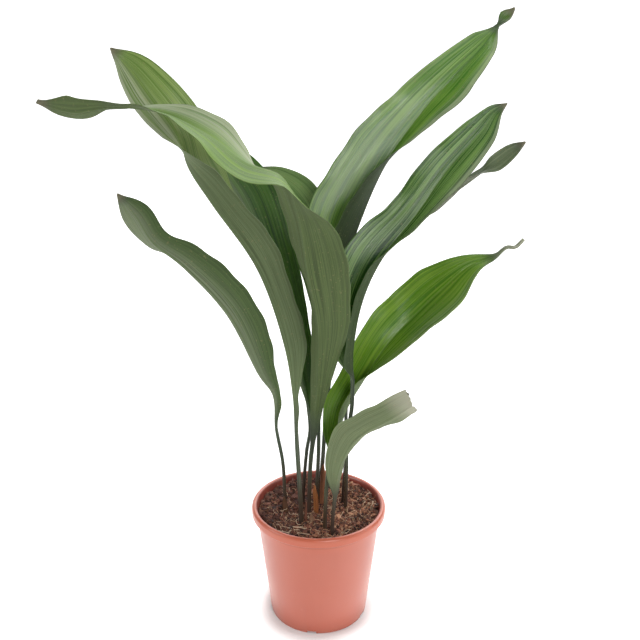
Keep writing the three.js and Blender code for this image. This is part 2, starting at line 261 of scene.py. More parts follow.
# %% Floor
SWEEP_HALF_WIDTH = 6.0
SWEEP_RADIUS = 2.0
SWEEP_FRONT = -4.0
SWEEP_BACK = 4.0
SWEEP_TOP = 8.0
SWEEP_STEPS = 24


def sweep_profile():
    """Points along the left edge of the sheet, from the front to the top of the wall."""
    points = [(-SWEEP_HALF_WIDTH, SWEEP_FRONT, 0), (-SWEEP_HALF_WIDTH, SWEEP_BACK, 0)]
    for step in range(1, SWEEP_STEPS + 1):
        turn = math.pi / 2 * step / SWEEP_STEPS
        y = SWEEP_BACK + SWEEP_RADIUS * math.sin(turn)
        points.append((-SWEEP_HALF_WIDTH, y, SWEEP_RADIUS * (1 - math.cos(turn))))
    points.append((-SWEEP_HALF_WIDTH, SWEEP_BACK + SWEEP_RADIUS, SWEEP_TOP))
    return points


def sweep_sheet():
    """The profile, drawn out sideways."""
    bm = bmesh.new()
    rail = [bm.verts.new(point) for point in sweep_profile()]
    rail_edges = [bm.edges.new(pair) for pair in zip(rail, rail[1:])]
    sheet = bmesh.ops.extrude_edge_only(bm, edges=rail_edges)["geom"]
    moved = [item for item in sheet if isinstance(item, bmesh.types.BMVert)]
    bmesh.ops.translate(bm, verts=moved, vec=(2 * SWEEP_HALF_WIDTH, 0, 0))
    return bm


print("floor is", 2 * SWEEP_HALF_WIDTH, "m wide")

# %% [markdown]
# ### A floor that glows
#
# The sheet glows, as one lit from behind does, so that it stays pale far from
# the lamps. Near the pot the glow is weaker, which leaves the pot a shadow. It
# is gone under the pot, where it would shine out of the foot slots, and also
# in front, where it would light the pot from below.

# %% Floor finish
GLOW_STRENGTH = 0.95
GLOW_NEAR_POT = 0.6  # share of the full glow
GLOW_SETS_IN = (0.064, 0.09)  # metres from the pot's axis, from none to the weaker glow
GLOW_GROWS = (0.3, 3.0)  # and from the weaker glow to the full one
GLOW_FRONT = (-0.6, -0.1)  # Y of the stretch over which the glow comes up from the front


def sweep_finish():
    """Matt and nearly white, with a glow that depends on the place."""
    paper = Finish("pale_sweep")
    place = paper.place()
    colour = paper.mix(paper.noise(place, 3.0), grey(0.86), grey(0.9))
    paper.look(Base_Color=colour, Roughness=0.9)
    from_pot = paper.length(place)
    near = paper.mix(paper.ramp(from_pot, *GLOW_SETS_IN), grey(0), grey(GLOW_NEAR_POT))
    glow = paper.mix(paper.ramp(from_pot, *GLOW_GROWS), near, grey(1))
    depth = paper.add("SeparateXYZ", [(0, place)]).outputs["Y"]
    glow = paper.mix(paper.ramp(depth, *GLOW_FRONT), grey(0), glow)
    paper.look(Emission_Color=glow, Emission_Strength=GLOW_STRENGTH)
    return paper


floor = link_mesh("sweep", sweep_sheet(), sweep_finish())
print("floor has", len(floor.data.polygons), "faces")

# %% [markdown]
# ## The pot
#
# A nursery pot is injection moulded in one piece: a thin tapered wall, a lip
# that turns over and hangs down as a skirt, and a foot ring with slots that
# let water out. Its section is drawn once and spun round the axis. The slots
# and drain holes are cut afterwards, as boxes and cylinders are easier to take
# away than to model round.

# %% Pot sizes, in millimetres
POT_HEIGHT = 151.5
POT_RIM_RADIUS = 85
POT_TOP_RADIUS = 78.3
POT_BASE_RADIUS = 62.5
POT_WALL = 1.6
WALL_MIDDLE = 70
LIP_DEPTH = 11.5
LIP_SKIRT = 1.9
LIP_ROOF = 3.4  # from the top down to the hollow between wall and skirt
BEAD_RADIUS = 3.6  # the rounded top of the lip
BEAD_STEPS = 8
FOOT_HEIGHT = 3.2
FLOOR_THICKNESS = 1.8
FLOOR_CORNER = 2
FOOT_RING_WIDTH = 4.5
FOOT_SLOTS = 5
FOOT_SLOT_WIDTH = 11.5
FOOT_SLOT_START = -98  # degrees from +X
DRAIN_RADIUS = 4.5
DRAIN_INSET = 13
PAD_RADIUS = 9
POT_STEPS = 160
POT_SLOPE = (POT_TOP_RADIUS - POT_BASE_RADIUS) / (POT_HEIGHT - LIP_DEPTH)


def pot_radius(z):
    """Outer radius of the tapered wall at a height."""
    return POT_BASE_RADIUS + POT_SLOPE * z


# %% Pot section
def foot_section():
    """(radius, height) under the pot, from its axis to the rounded edge of the wall."""
    ring = POT_BASE_RADIUS - FOOT_RING_WIDTH
    return [
        (0, 0), (PAD_RADIUS, 0), (PAD_RADIUS + 1, FOOT_HEIGHT), (ring - 0.8, FOOT_HEIGHT), (ring, 0),
        (POT_BASE_RADIUS - 1.2, 0), (POT_BASE_RADIUS - 0.35, 0.35), (POT_BASE_RADIUS, 1.4),
    ]


def lip_section():
    """Up the wall behind the skirt, down inside the skirt, and up its face to the bead."""
    top, rim = POT_HEIGHT, POT_RIM_RADIUS
    skirt, under = rim - LIP_SKIRT, top - LIP_DEPTH
    section = [
        (pot_radius(under), under), (pot_radius(top - 4.5), top - 4.5),
        (pot_radius(top - 4) + 1, top - LIP_ROOF), (skirt - 0.8, top - LIP_ROOF),
        (skirt, top - 4.5), (skirt, under + 0.4), (skirt + 0.4, under),
        (rim - 1, under), (rim - 0.2, under + 0.9),
    ]
    for step in range(BEAD_STEPS + 1):
        turn = math.pi * step / BEAD_STEPS
        radius = rim - BEAD_RADIUS + BEAD_RADIUS * math.cos(turn)
        section.append((radius, top - 4 + 4 * math.sin(turn)))
    return section


def pot_section():
    """(radius, height) all the way round the wall, back to the axis."""
    floor_top = FOOT_HEIGHT + FLOOR_THICKNESS
    corner_top = floor_top + FLOOR_CORNER
    inside = [
        (pot_radius(POT_HEIGHT - 6) - POT_WALL, POT_HEIGHT - 6),
        (pot_radius(WALL_MIDDLE) - POT_WALL, WALL_MIDDLE),
        (pot_radius(corner_top) - POT_WALL, corner_top),
        (pot_radius(floor_top) - POT_WALL - FLOOR_CORNER, floor_top), (0, floor_top),
    ]
    return foot_section() + [(pot_radius(WALL_MIDDLE), WALL_MIDDLE)] + lip_section() + inside


print("points in the pot's section:", len(pot_section()))


# %% Spinning a section
SORT_WAY = Vector((1, 3.1, 9.7))  # a slant on which no two points lie level


def put_in_order(solid):
    """Sorts a mesh by place, because a spin leaves it in another order each time."""
    solid.verts.sort(key=lambda vert: vert.co.dot(SORT_WAY))
    solid.edges.sort(key=lambda edge: (edge.verts[0].co + edge.verts[1].co).dot(SORT_WAY))
    solid.faces.sort(key=lambda face: face.calc_center_median().dot(SORT_WAY))


def spun(section, steps):
    """A solid of revolution about Z from (radius, height) in millimetres."""
    solid = bmesh.new()
    verts = [solid.verts.new((r * MM, 0, z * MM)) for r, z in section]
    edges = [solid.edges.new(pair) for pair in zip(verts, verts[1:])]
    geom = verts + edges
    bmesh.ops.spin(
        solid, geom=geom, cent=(0, 0, 0), axis=(0, 0, 1), angle=math.tau, steps=steps, use_merge=True
    )
    bmesh.ops.remove_doubles(solid, verts=solid.verts, dist=1e-6)
    bmesh.ops.recalc_face_normals(solid, faces=solid.faces)
    put_in_order(solid)
    return solid


print("turn of each step:", 360 / POT_STEPS, "degrees")

# %% [markdown]
# ### Salmon plastic
#
# The plastic is an even salmon red with a satin skin. Thin mouldings scatter a
# little light under the skin, which softens them, and the skin picks up faint
# scuffs and lime marks. Noise at two scales moves the colour and the gloss,
# and a fine bump breaks up the reflections.
#
# Two places get painted shade, where shade falls on the pot: the inner wall
# above the soil, and the wall just below the skirt and behind it. Masks find
# them by radius and height. The inner skin and the outer one lie so close that
# the taper has to be taken out of the radius first, after which one number parts them.

# %% Plastic finish
WALL_SALMON = ((0.44, 0.11, 0.066), (0.485, 0.126, 0.077))
LIP_SALMON = (0.51, 0.122, 0.066)
SCUFFED = (0.75, 0.42, 0.36)
# painted shade: the inner wall above the soil, and the wall below the skirt
INNER_WALL_SHADE = (0.2, 0.035, 0.028)
SKIRT_SHADE = (0.22, 0.05, 0.035)
LIP_RISES = (0.12, 0.145)  # heights in metres between which the lip's colour comes in
ABOVE_SOIL = (0.125, 0.132)  # and the inner wall's
SKIRT_RISES = (0.132, 0.1385)  # and the dark wall's near the skirt
SKIRT_REACH = (0.0795, 0.081)  # radii between which that one ends


def inner_shade_mask(plastic, radius, height):
    """1 on the inner skin of the wall, above the soil, where shade is painted."""
    upright_radius = plastic.maths("MULTIPLY_ADD", height, -POT_SLOPE, radius)
    inner, outer = (POT_BASE_RADIUS - POT_WALL) * MM, POT_BASE_RADIUS * MM
    inside = plastic.fade(upright_radius, inner + 0.0004, outer - 0.0002)
    return plastic.maths("MULTIPLY", inside, plastic.ramp(height, *ABOVE_SOIL))


def shade_below_skirt(plastic, radius, height):
    """1 on the wall below the skirt and behind it, where shade is painted."""
    near_wall = plastic.fade(radius, *SKIRT_REACH)
    return plastic.maths("MULTIPLY", near_wall, plastic.ramp(height, *SKIRT_RISES))


def plastic_finish():
    """Salmon plastic with clouds, scuffs and two places of painted shade."""
    plastic = Finish("salmon_plastic")
    place = plastic.place()
    height = plastic.add("SeparateXYZ", [(0, place)]).outputs["Z"]
    across = plastic.add("VectorMath", [(0, place), (1, (1, 1, 0))], operation="MULTIPLY").outputs[0]
    radius = plastic.length(across)
    scuffs = plastic.noise(place, 90.0, detail=6.0, rough=0.7)
    colour = plastic.mix(plastic.noise(place, 14.0), *WALL_SALMON)
    colour = plastic.mix(plastic.ramp(height, *LIP_RISES), colour, LIP_SALMON)
    colour = plastic.tinge(colour, plastic.ramp(scuffs, 0.62, 0.8), 0.12, SCUFFED)
    # painted shade inside the rim and below the skirt
    colour = plastic.tinge(colour, inner_shade_mask(plastic, radius, height), 0.75, INNER_WALL_SHADE)
    colour = plastic.tinge(colour, shade_below_skirt(plastic, radius, height), 0.6, SKIRT_SHADE)
    plastic.look(Base_Color=colour, Roughness=plastic.maths("MULTIPLY_ADD", scuffs, 0.14, 0.3))
    plastic.look(Coat_Weight=0.35, Coat_Roughness=0.2)
    plastic.look(Subsurface_Weight=0.06, Subsurface_Scale=0.002, IOR=1.45)
    plastic.bump(scuffs, 0.15, 0.0002)
    return plastic


salmon = plastic_finish()
print("nodes in the plastic:", len(salmon.tree.nodes))

# %% [markdown]
# ### Slots and holes
#
# Five slots run through the foot ring, and inside each one a round hole drains
# the floor. A tool reaches past the plastic wherever the cut is open, so that
# no thin skin is left standing.

# %% Cut the slots and drain holes
SLOT_TOOL_LENGTH = 30
PLUG_HEIGHT = 20
PLUG_SIDES = 32
SHARP_EDGE = 35  # degrees between faces


def turned_to_slot(number):
    """The turn from +X to a foot slot."""
    return Matrix.Rotation(math.radians(FOOT_SLOT_START + 360 / FOOT_SLOTS * number), 4, "Z")


def slot_boxes():
    """A box for each foot slot."""
    boxes = bmesh.new()
    size = Matrix.Diagonal((SLOT_TOOL_LENGTH * MM, FOOT_SLOT_WIDTH * MM, (FOOT_HEIGHT + 1) * MM, 1))
    out = Matrix.Translation(Vector((POT_BASE_RADIUS, 0, (FOOT_HEIGHT - 1) / 2)) * MM)
    for number in range(FOOT_SLOTS):
        bmesh.ops.create_cube(boxes, size=1, matrix=turned_to_slot(number) @ out @ size)
    return boxes


def drain_plugs():
    """A cylinder for each drain hole."""
    plugs = bmesh.new()
    radius = DRAIN_RADIUS * MM
    out = Matrix.Translation(Vector((POT_BASE_RADIUS - DRAIN_INSET, 0, FOOT_HEIGHT)) * MM)
    for number in range(FOOT_SLOTS):
        bmesh.ops.create_cone(
            plugs, cap_ends=True, segments=PLUG_SIDES, radius1=radius, radius2=radius,
            depth=PLUG_HEIGHT * MM, matrix=turned_to_slot(number) @ out,
        )
    return plugs


def cut_away(piece, tool_mesh):
    """Takes a tool's shape out of a piece for good."""
    tool = link_mesh("tool", tool_mesh, salmon)
    cut = piece.modifiers.new("cut", "BOOLEAN")
    cut.operation = "DIFFERENCE"
    cut.object = tool
    cut.solver = "MANIFOLD"
    bpy.context.view_layer.update()
    shown = piece.evaluated_get(bpy.context.evaluated_depsgraph_get())
    result = bpy.data.meshes.new_from_object(shown)
    piece.modifiers.clear()
    piece.data = result
    bpy.data.objects.remove(tool)


pot = link_mesh("moulded_pot", spun(pot_section(), POT_STEPS), salmon)
cut_away(pot, slot_boxes())
cut_away(pot, drain_plugs())
pot.data.set_sharp_from_angle(angle=math.radians(SHARP_EDGE))
stand_in(pot, "pot")

# %% [markdown]
# ## Leaves
#
# An aspidistra leaf is one strap: a wiry stalk that widens into a folded,
# twisted blade and closes to a narrow tip. Drawing such a blade by hand as a
# mesh is hopeless, but it is easy to say in words: where its midrib runs, how
# far it has rolled, how far each half is folded up (or down, below zero), and
# how wide it is. Each row below says that at one place (x, y, z, roll, fold,
# half width), in millimetres and degrees. A smooth curve through the rows gives
# the rest.
#
# A leaf also has a few words of its own. Lean is the way it leans out, in
# degrees from +X: its upper face looks up and back from there. Curl is how far
# each half bends on from the midrib to the margin, in degrees, and wave is how
# high the margin rolls, in millimetres. Skew is the share by which one half is
# wider and the other narrower. Tear is how far a torn end slants, in
# millimetres.

# %% The leaves in words
STALK_FOOT_Z = 123.1

LEAVES = {
    "leaf_low_left": {
        "lean": 190, "curl": 12, "wave": 1.6,
        "keys": [
            (-42, 5, STALK_FOOT_Z, 0, 0, 2.2), (-43, 5, 150, 0, 0, 2.2),
            (-45, 5, 205, 0, 0, 2.2), (-52, 0, 255, -5, 30, 4),
            (-55, 0, 300, -5, 50, 12), (-70, -10, 330, 5, 60, 22),
            (-105, -20, 410, 10, 60, 38), (-150, -35, 470, 30, 40, 30),
            (-180, -45, 500, 60, 20, 20), (-195, -50, 530, 80, 10, 17),
            (-210, -60, 555, 85, 5, 1),
        ],
    },
    "leaf_high_left": {
        "lean": 172, "curl": 10, "wave": 2.2, "skew": -0.08,
        "keys": [
            (-22, -23, STALK_FOOT_Z, 0, 0, 2.8), (-22, -23, 150, 0, 0, 2.8),
            (-25, -25, 225, 5, 0, 2.8), (-30, -15, 305, 30, 40, 10),
            (-40, -10, 370, 45, 60, 27), (-70, -5, 460, 40, 50, 33),
            (-120, 0, 535, 25, 45, 37), (-145, 5, 575, -5, 40, 35),
            (-155, 10, 610, -40, 20, 31), (-185, 15, 655, -75, 10, 27),
            (-205, 20, 680, -80, 5, 18), (-225, 20, 700, -80, 5, 1),
        ],
    },
    "leaf_arching": {
        "lean": 180, "curl": 8, "wave": 1.5,
        "keys": [
            (-12, 0, STALK_FOOT_Z, 0, 0, 2.6), (-12, 0, 150, 10, 0, 2.6),
            (-10, -5, 210, 45, 0, 2.6), (-5, -20, 265, 80, 30, 5),
            (0, -40, 345, 70, 40, 21), (0, -60, 410, 55, 40, 36),
            (-10, -85, 475, 50, 30, 42), (-20, -95, 540, 35, 5, 44),
            (-35, -110, 580, 15, -20, 42), (-70, -115, 595, -10, -10, 39),
            (-105, -110, 620, -15, 5, 36), (-150, -100, 640, -15, 15, 18),
            (-200, -95, 645, 35, 10, 8), (-240, -90, 640, 40, 10, 18),
            (-275, -85, 650, 40, 5, 1),
        ],
    },
    "leaf_inner_left": {
        "lean": 165, "curl": 8, "wave": 2,
        "keys": [
            (-20, 19, STALK_FOOT_Z, 0, 0, 2.2), (-20, 19, 150, 0, 0, 2.2),
            (-15, 20, 215, -20, 0, 2.2), (-10, 20, 250, -30, 20, 4),
            (-20, 25, 325, -45, 35, 15), (-35, 35, 395, -55, 20, 22),
            (-55, 40, 475, -60, 15, 25), (-80, 50, 540, -60, 15, 29),
            (-110, 55, 580, -60, 10, 20), (-125, 55, 605, -60, 5, 1),
        ],
    },
    "leaf_back": {
        "lean": 140, "curl": 8, "wave": 2,
        "keys": [
            (-3, 12, STALK_FOOT_Z, 0, 0, 2.4), (-3, 12, 150, 0, 0, 2.4),
            (0, 20, 215, 0, 0, 2.4), (0, 35, 270, 0, 15, 4),
            (0, 65, 345, -15, 35, 20), (5, 80, 410, -35, 25, 26),
            (-10, 95, 480, -50, 20, 33), (-30, 100, 520, -50, 10, 33),
            (-55, 110, 545, -50, 10, 19), (-75, 110, 560, -50, 5, 1),
        ],
    },
    "leaf_top_right": {
        "lean": 25, "curl": 10, "wave": 2.5, "skew": 0.08,
        "keys": [
            (1, 24, STALK_FOOT_Z, 0, 0, 2.6), (1, 24, 150, 0, 0, 2.6),
            (5, 25, 195, 0, 0, 2.6), (10, 30, 275, 0, 15, 2.8),
            (20, 35, 360, 0, 50, 12), (30, 40, 440, 5, 60, 41),
            (50, 50, 505, 10, 60, 60), (80, 65, 570, 20, 45, 48),
            (120, 80, 625, 40, 30, 38), (160, 90, 670, 70, 15, 29),
            (195, 100, 705, 75, 10, 18), (210, 105, 725, 50, 30, 2.6),
            (220, 110, 735, 45, 10, 8), (230, 110, 745, 40, 5, 1),
        ],
    },
    "leaf_mid_right": {
        "lean": 15, "curl": 8, "wave": 2,
        "keys": [
            (35, 9, STALK_FOOT_Z, 0, 0, 2.4), (35, 9, 150, 0, 0, 2.4),
            (35, 0, 195, 0, 0, 2.4), (35, -10, 245, 0, 0, 2.4),
            (40, -20, 295, 0, 0, 2.4), (40, -25, 330, 0, 50, 3.5),
            (40, -20, 365, 15, 55, 22), (50, -10, 420, 20, 50, 39),
            (70, 0, 465, 20, 45, 41), (110, 15, 515, 30, 30, 33),
            (150, 30, 570, 55, 20, 28), (185, 40, 610, 65, 10, 20),
            (200, 45, 630, 70, 10, 10), (215, 50, 640, 70, 5, 1),
        ],
    },
    "leaf_behind_right": {
        "lean": 15, "curl": 6, "wave": 1.5,
        "keys": [
            (32, 24, STALK_FOOT_Z, 0, 0, 2.2), (32, 24, 150, 0, 0, 2.2),
            (35, 25, 205, 0, 0, 2.2), (35, 30, 280, 0, 25, 3),
            (40, 35, 350, -10, 50, 10), (50, 40, 410, -30, 45, 18),
            (75, 45, 460, -50, 35, 24), (115, 50, 510, -60, 20, 25),
            (160, 60, 535, -60, 20, 16), (195, 65, 560, 0, 20, 8),
            (210, 65, 570, 50, 10, 11), (230, 70, 585, 55, 10, 9),
            (245, 70, 595, 55, 5, 1),
        ],
    },
    "leaf_bright_right": {
        "lean": 20, "curl": 10, "wave": 2,
        "keys": [
            (8, -39, STALK_FOOT_Z, 0, 0, 2.4), (8, -39, 150, 0, 0, 2.4),
            (10, -35, 195, 0, 0, 2.4), (15, -20, 230, 5, 25, 4),
            (25, -5, 255, 15, 50, 20), (35, 5, 280, 15, 55, 30),
            (55, 20, 310, 30, 60, 37), (85, 30, 355, 40, 40, 40),
            (115, 40, 385, 30, 20, 40), (150, 45, 420, 30, 5, 36),
            (185, 50, 450, 40, 5, 16), (215, 55, 460, 50, 10, 4),
            (230, 60, 470, 20, 10, 2.5), (240, 60, 470, -20, 10, 3),
            (250, 60, 480, 0, 5, 1),
        ],
    },
    "leaf_low_right": {
        "lean": -40, "curl": 8, "wave": 1.2, "tear": -6,
        "keys": [
            (17, -48, STALK_FOOT_Z, 0, 0, 2.2), (17, -48, 150, 0, 0, 2.2),
            (20, -50, 190, -10, 15, 3.5), (25, -55, 230, -25, 40, 18),
            (40, -60, 265, -35, 35, 28), (55, -70, 285, -40, 30, 25),
            (80, -80, 305, -40, 20, 24), (105, -85, 325, -40, 15, 22),
        ],
    },
}
print("leaves:", len(LEAVES))

# %% [markdown]
# ### From rows to a curve
#
# A Catmull-Rom curve passes through all its points. Its centripetal form
# doesn't loop where points are close, so the midrib uses it. Rolls, folds and
# widths use the even form, which eases them from row to row.


# %% Smooth curves
def hermite_pieces(points, centripetal):
    """The cubic's four coefficients between each pair of points."""
    ends = [2 * points[0] - points[1], *points, 2 * points[-1] - points[-2]]
    pieces = []
    for a, b, c, d in zip(ends, ends[1:], ends[2:], ends[3:]):
        if centripetal:
            gaps = [numpy.linalg.norm(q - p) ** 0.5 for p, q in ((a, b), (b, c), (c, d))]
            first = (b - a) / gaps[0] - (c - a) / (gaps[0] + gaps[1]) + (c - b) / gaps[1]
            last = (c - b) / gaps[1] - (d - b) / (gaps[1] + gaps[2]) + (d - c) / gaps[2]
            first, last = first * gaps[1], last * gaps[1]
        else:
            first, last = (c - a) / 2, (d - b) / 2
        square = 3 * (c - b) - 2 * first - last
        cube = 2 * (b - c) + first + last
        pieces.append((b, first, square, cube))
    return pieces


def along_curve(pieces, t):
    """Point and direction at t from 0 to 1."""
    number = min(int(t * len(pieces)), len(pieces) - 1)
    w = t * len(pieces) - number
    start, first, square, cube = pieces[number]
    point = start + w * (first + w * (square + w * cube))
    direction = first + w * (2 * square + 3 * w * cube)
    return point, direction


def smooth(low, high, x):
    """0 below low, 1 above high, and an S between them."""
    t = min(1.0, max(0.0, (x - low) / (high - low)))
    return t * t * (3 - 2 * t)


print("a quarter of the way along an S:", smooth(0, 1, 0.25))

# %% [markdown]
# ### Stations
#
# Cutting the leaf at even steps along the midrib gives stations, each with
# its own small frame: along the midrib, across the blade and out of its upper
# face. Even steps need the curve's length, which is summed over short chords.

# %% Stations along a leaf
CHORDS = 200
THINNEST = 0.7  # least half width, in millimetres


def midrib_steps(midrib):
    """Steps along the midrib from 0 to 1, and the length that each has reached."""
    steps = numpy.linspace(0, 1, CHORDS + 1)
    dots = numpy.array([along_curve(midrib, t)[0] for t in steps])
    chords = numpy.linalg.norm(numpy.diff(dots, axis=0), axis=1)
    return steps, numpy.concatenate([[0], numpy.cumsum(chords)])


def stations(leaf, count):
    """Evenly spaced cuts through the leaf, from the foot of the stalk to the tip."""
    rows = numpy.array(leaf["keys"], dtype=float)
    midrib = hermite_pieces(list(rows[:, :3]), centripetal=True)
    form = hermite_pieces(list(rows[:, 3:]), centripetal=False)
    steps, reached = midrib_steps(midrib)
    lean = math.radians(leaf["lean"])
    side = Vector((-math.sin(lean), math.cos(lean), 0))
    cuts = []
    for number in range(count):
        u = number / (count - 1)
        t = float(numpy.interp(u * reached[-1], reached, steps))
        centre, direction = along_curve(midrib, t)
        along = Vector(direction).normalized()
        across = (side - along * side.dot(along)).normalized()
        roll, fold, width = along_curve(form, t)[0]
        turn = math.radians(roll)
        across = across * math.cos(turn) + along.cross(across) * math.sin(turn)
        cut = {"u": u, "length": reached[-1], "centre": Vector(centre), "along": along}
        cut |= {"across": across, "up": along.cross(across), "width": max(THINNEST, width)}
        cut["fold"] = math.radians(fold)
        cuts.append(cut)
    return cuts


print("longest leaf:", round(max(stations(leaf, 2)[0]["length"] for leaf in LEAVES.values())), "mm")

# %% [markdown]
# ### What makes a blade look grown
#
# Each half of a section is an arc that leaves the midrib at the fold angle.
# An arc alone looks like bent card. What makes the blade look grown is small:
# margins that roll in a long wave and flutter in a short one, shallow pleats
# that run the whole length, and, on one leaf, a ragged end where it was torn.

# %% Waves, pleats and rags
RIPPLE = 0.055  # radians of the long wave per millimetre of leaf
RIPPLE_STARTS = {1: 0.4, -1: 2.3}  # radians, so that the halves roll apart
FLUTTER = 0.17  # radians of the short wave per millimetre of leaf
FLUTTER_HEIGHT = 0.7
PLEATS = 11  # how closely the pleats lie across each half
PLEAT_DRIFT = 0.008  # how fast they wander, per millimetre of leaf
PLEAT_HEIGHT = 0.4
PLEAT_FULL = 25  # half width from which the pleats are at their full height
RAGS = [
    # (height in millimetres, how closely they lie, where they are read in the noise)
    (7, 3.1, (4.2, 0)),
    (2, 11, (0, 2)),
]


def arc(fold, curl, reach):
    """Out and up along a half that leaves at the fold and turns by curl."""
    if abs(curl) < 1e-4:
        return reach * math.cos(fold), reach * math.sin(fold)
    end = fold + curl * reach
    return (math.sin(end) - math.sin(fold)) / curl, (math.cos(fold) - math.cos(end)) / curl


def rolling(leaf, run, half, reach):
    """Height of the wave and the flutter, which grow towards the margin."""
    wave = leaf["wave"] * math.sin(run * RIPPLE + RIPPLE_STARTS[half]) * reach**2
    height = leaf.get("flutter", FLUTTER_HEIGHT)
    return wave + height * math.sin(run * FLUTTER + 3 * half + leaf["lean"]) * reach**5


def pleated(leaf, run, across, size):
    """Height of the pleats, which fade out at the midrib and at the margin."""
    ridge = leaf.get("pleat", PLEAT_HEIGHT) * min(1, size / PLEAT_FULL)
    ridge *= noise.noise(Vector((across * PLEATS, run * PLEAT_DRIFT, leaf["lean"])))
    fade = smooth(0, 0.1, abs(across)) * (1 - smooth(0.8, 1, abs(across)))
    return ridge * fade


def torn(leaf, across):
    """How far a torn end reaches beyond a straight one."""
    rags = sum(height * noise.noise(Vector((across * rate, *spot))) for height, rate, spot in RAGS)
    return leaf["tear"] * across + rags


print("long wave of a margin:", round(math.tau / RIPPLE), "mm")

# %% [markdown]
# ### The section
#
# Near the foot the section rounds into the stalk. Further up it is a thin
# blade, thinner still at the margins, with a raised midrib below that shows
# above as a groove. One function gives any point of the skin, so both faces
# and the stalk come from the same words.

# %% One point of a leaf's section
BLADE_THICKNESS = 0.9
MARGIN_THICKNESS = 0.5
THIN_FROM = 0.6  # share of a half at which it starts to thin
TORN_FROM = 0.93  # share of a leaf's length at which its end starts to slant
KEEL = 0.5  # how far the midrib stands out below
GROOVE = 0.25  # how deep it lies above
MIDRIB_REACH = 0.09  # share of a half that the midrib takes
ROUND_TO_BLADE = (0.2, 7)  # half widths beyond the stalk's, between which it flattens


def section_point(leaf, cut, across, face):
    """A point of the skin: across is -1 to 1 between the margins, face 1 above or -1 below."""
    half = -1 if across < 0 else 1
    reach = abs(across)
    stalk = leaf.get("stalk", leaf["keys"][0][5])
    round_part = 1 - smooth(stalk + ROUND_TO_BLADE[0], stalk + ROUND_TO_BLADE[1], cut["width"])
    blade = 1 - round_part
    fold = cut["fold"] * blade
    curl = math.radians(leaf["curl"]) * blade
    out, lift = arc(fold, curl, reach)
    size = cut["width"] * (1 + leaf.get("skew", 0) * half * blade)
    run = cut["u"] * cut["length"]
    rise = lift * size + blade * (rolling(leaf, run, half, reach) + pleated(leaf, run, across, size))
    thickness = BLADE_THICKNESS + (MARGIN_THICKNESS - BLADE_THICKNESS) * blade * smooth(THIN_FROM, 1, reach)
    midrib = 1 - smooth(0, MIDRIB_REACH, reach)
    keel = (KEEL if face < 0 else -GROOVE) * blade * midrib
    bulge = (stalk - BLADE_THICKNESS / 2) * round_part * math.sqrt(max(0, 1 - reach**2))
    thick = (thickness / 2 + bulge) * (1 + midrib * (1 / math.cos(fold) - 1)) + keel
    lean = (fold + curl * reach) * (1 - midrib)
    dx = half * out * size - half * face * thick * math.sin(lean)
    dz = rise + face * thick * math.cos(lean)
    point = cut["centre"] + cut["across"] * dx + cut["up"] * dz
    if "tear" in leaf:
        point += cut["along"] * torn(leaf, across) * smooth(TORN_FROM, 1, cut["u"])
    return point


print("blade is", BLADE_THICKNESS, "mm thick at its midrib")

# %% [markdown]
# ### Wrapping a grid
#
# A leaf's skin is a grid: one direction runs along the leaf, the other goes
# across the upper face and back across the lower one. The grid is made by one
# operator, each of its points is moved to its place on the leaf, and merging
# closes the seam at the margin. The grid's own directions are kept as a UV map
# in which x is the place across the blade and y the distance along it in
# metres, and they are what the veins follow. Three attributes tell the finish
# which face it is on, how much of the stalk is there and how near the tip is.

# %% Leaf skins
FACE_STEPS = 56  # faces across each side of a blade
ALONG_STEPS = 150
STALK_COLOUR_ENDS = (0.5, 9)  # half widths beyond the stalk's, between which its colour fades


def ring_place(column, face_steps):
    """(across, face) of a column: over the upper face, then back below."""
    if column <= face_steps:
        return 1 - 2 * column / face_steps, 1
    return -1 + 2 * (column - face_steps - 1) / face_steps, -1


def leaf_skin(leaf, face_steps=FACE_STEPS, along_steps=ALONG_STEPS):
    """A closed leaf as a bmesh, with its UV map and attributes."""
    skin = bmesh.new()
    columns = 2 * (face_steps + 1)
    bmesh.ops.create_grid(skin, x_segments=columns, y_segments=along_steps, size=1)
    upper = skin.verts.layers.float.new("upper")
    stalky = skin.verts.layers.float.new("stalk")
    tipward = skin.verts.layers.float.new("tip")
    veins = skin.loops.layers.uv.new("veins")
    cuts = stations(leaf, along_steps + 1)
    thin = leaf.get("stalk", leaf["keys"][0][5])
    flat = {}
    for vert in skin.verts:
        column = round((vert.co.x + 1) / 2 * columns)
        cut = cuts[round((vert.co.y + 1) / 2 * along_steps)]
        across, face = ring_place(column % columns, face_steps)
        flat[vert] = (across, cut["u"] * cut["length"] * MM)
        vert[upper] = 1 if face > 0 else 0
        vert[stalky] = 1 - smooth(thin + STALK_COLOUR_ENDS[0], thin + STALK_COLOUR_ENDS[1], cut["width"])
        vert[tipward] = cut["u"]
        vert.co = section_point(leaf, cut, across, face) * MM
    for face in skin.faces:
        for loop in face.loops:
            loop[veins].uv = flat[loop.vert]
    bmesh.ops.remove_doubles(skin, verts=skin.verts, dist=1e-7)
    rims = [edge for edge in skin.edges if edge.is_boundary]
    bmesh.ops.holes_fill(skin, edges=rims, sides=0)
    bmesh.ops.recalc_face_normals(skin, faces=skin.faces)
    return skin


print("faces round a leaf:", 2 * (FACE_STEPS + 1))

# %% [markdown]
# ### Reading a blade
#
# A leaf carries parallel veins that run from foot to tip, and long streaks of
# deeper and paler green. Images of leaves would repeat, so noise is stretched
# along the leaf instead: it reads the UV map, where a small scale along the
# blade and a large one across it draw streaks.

# %% Directions and streaks on a blade
VEINS = 34  # fine veins across each half
VEIN_DRIFT = 0.05  # how far they wander, as a share of a half


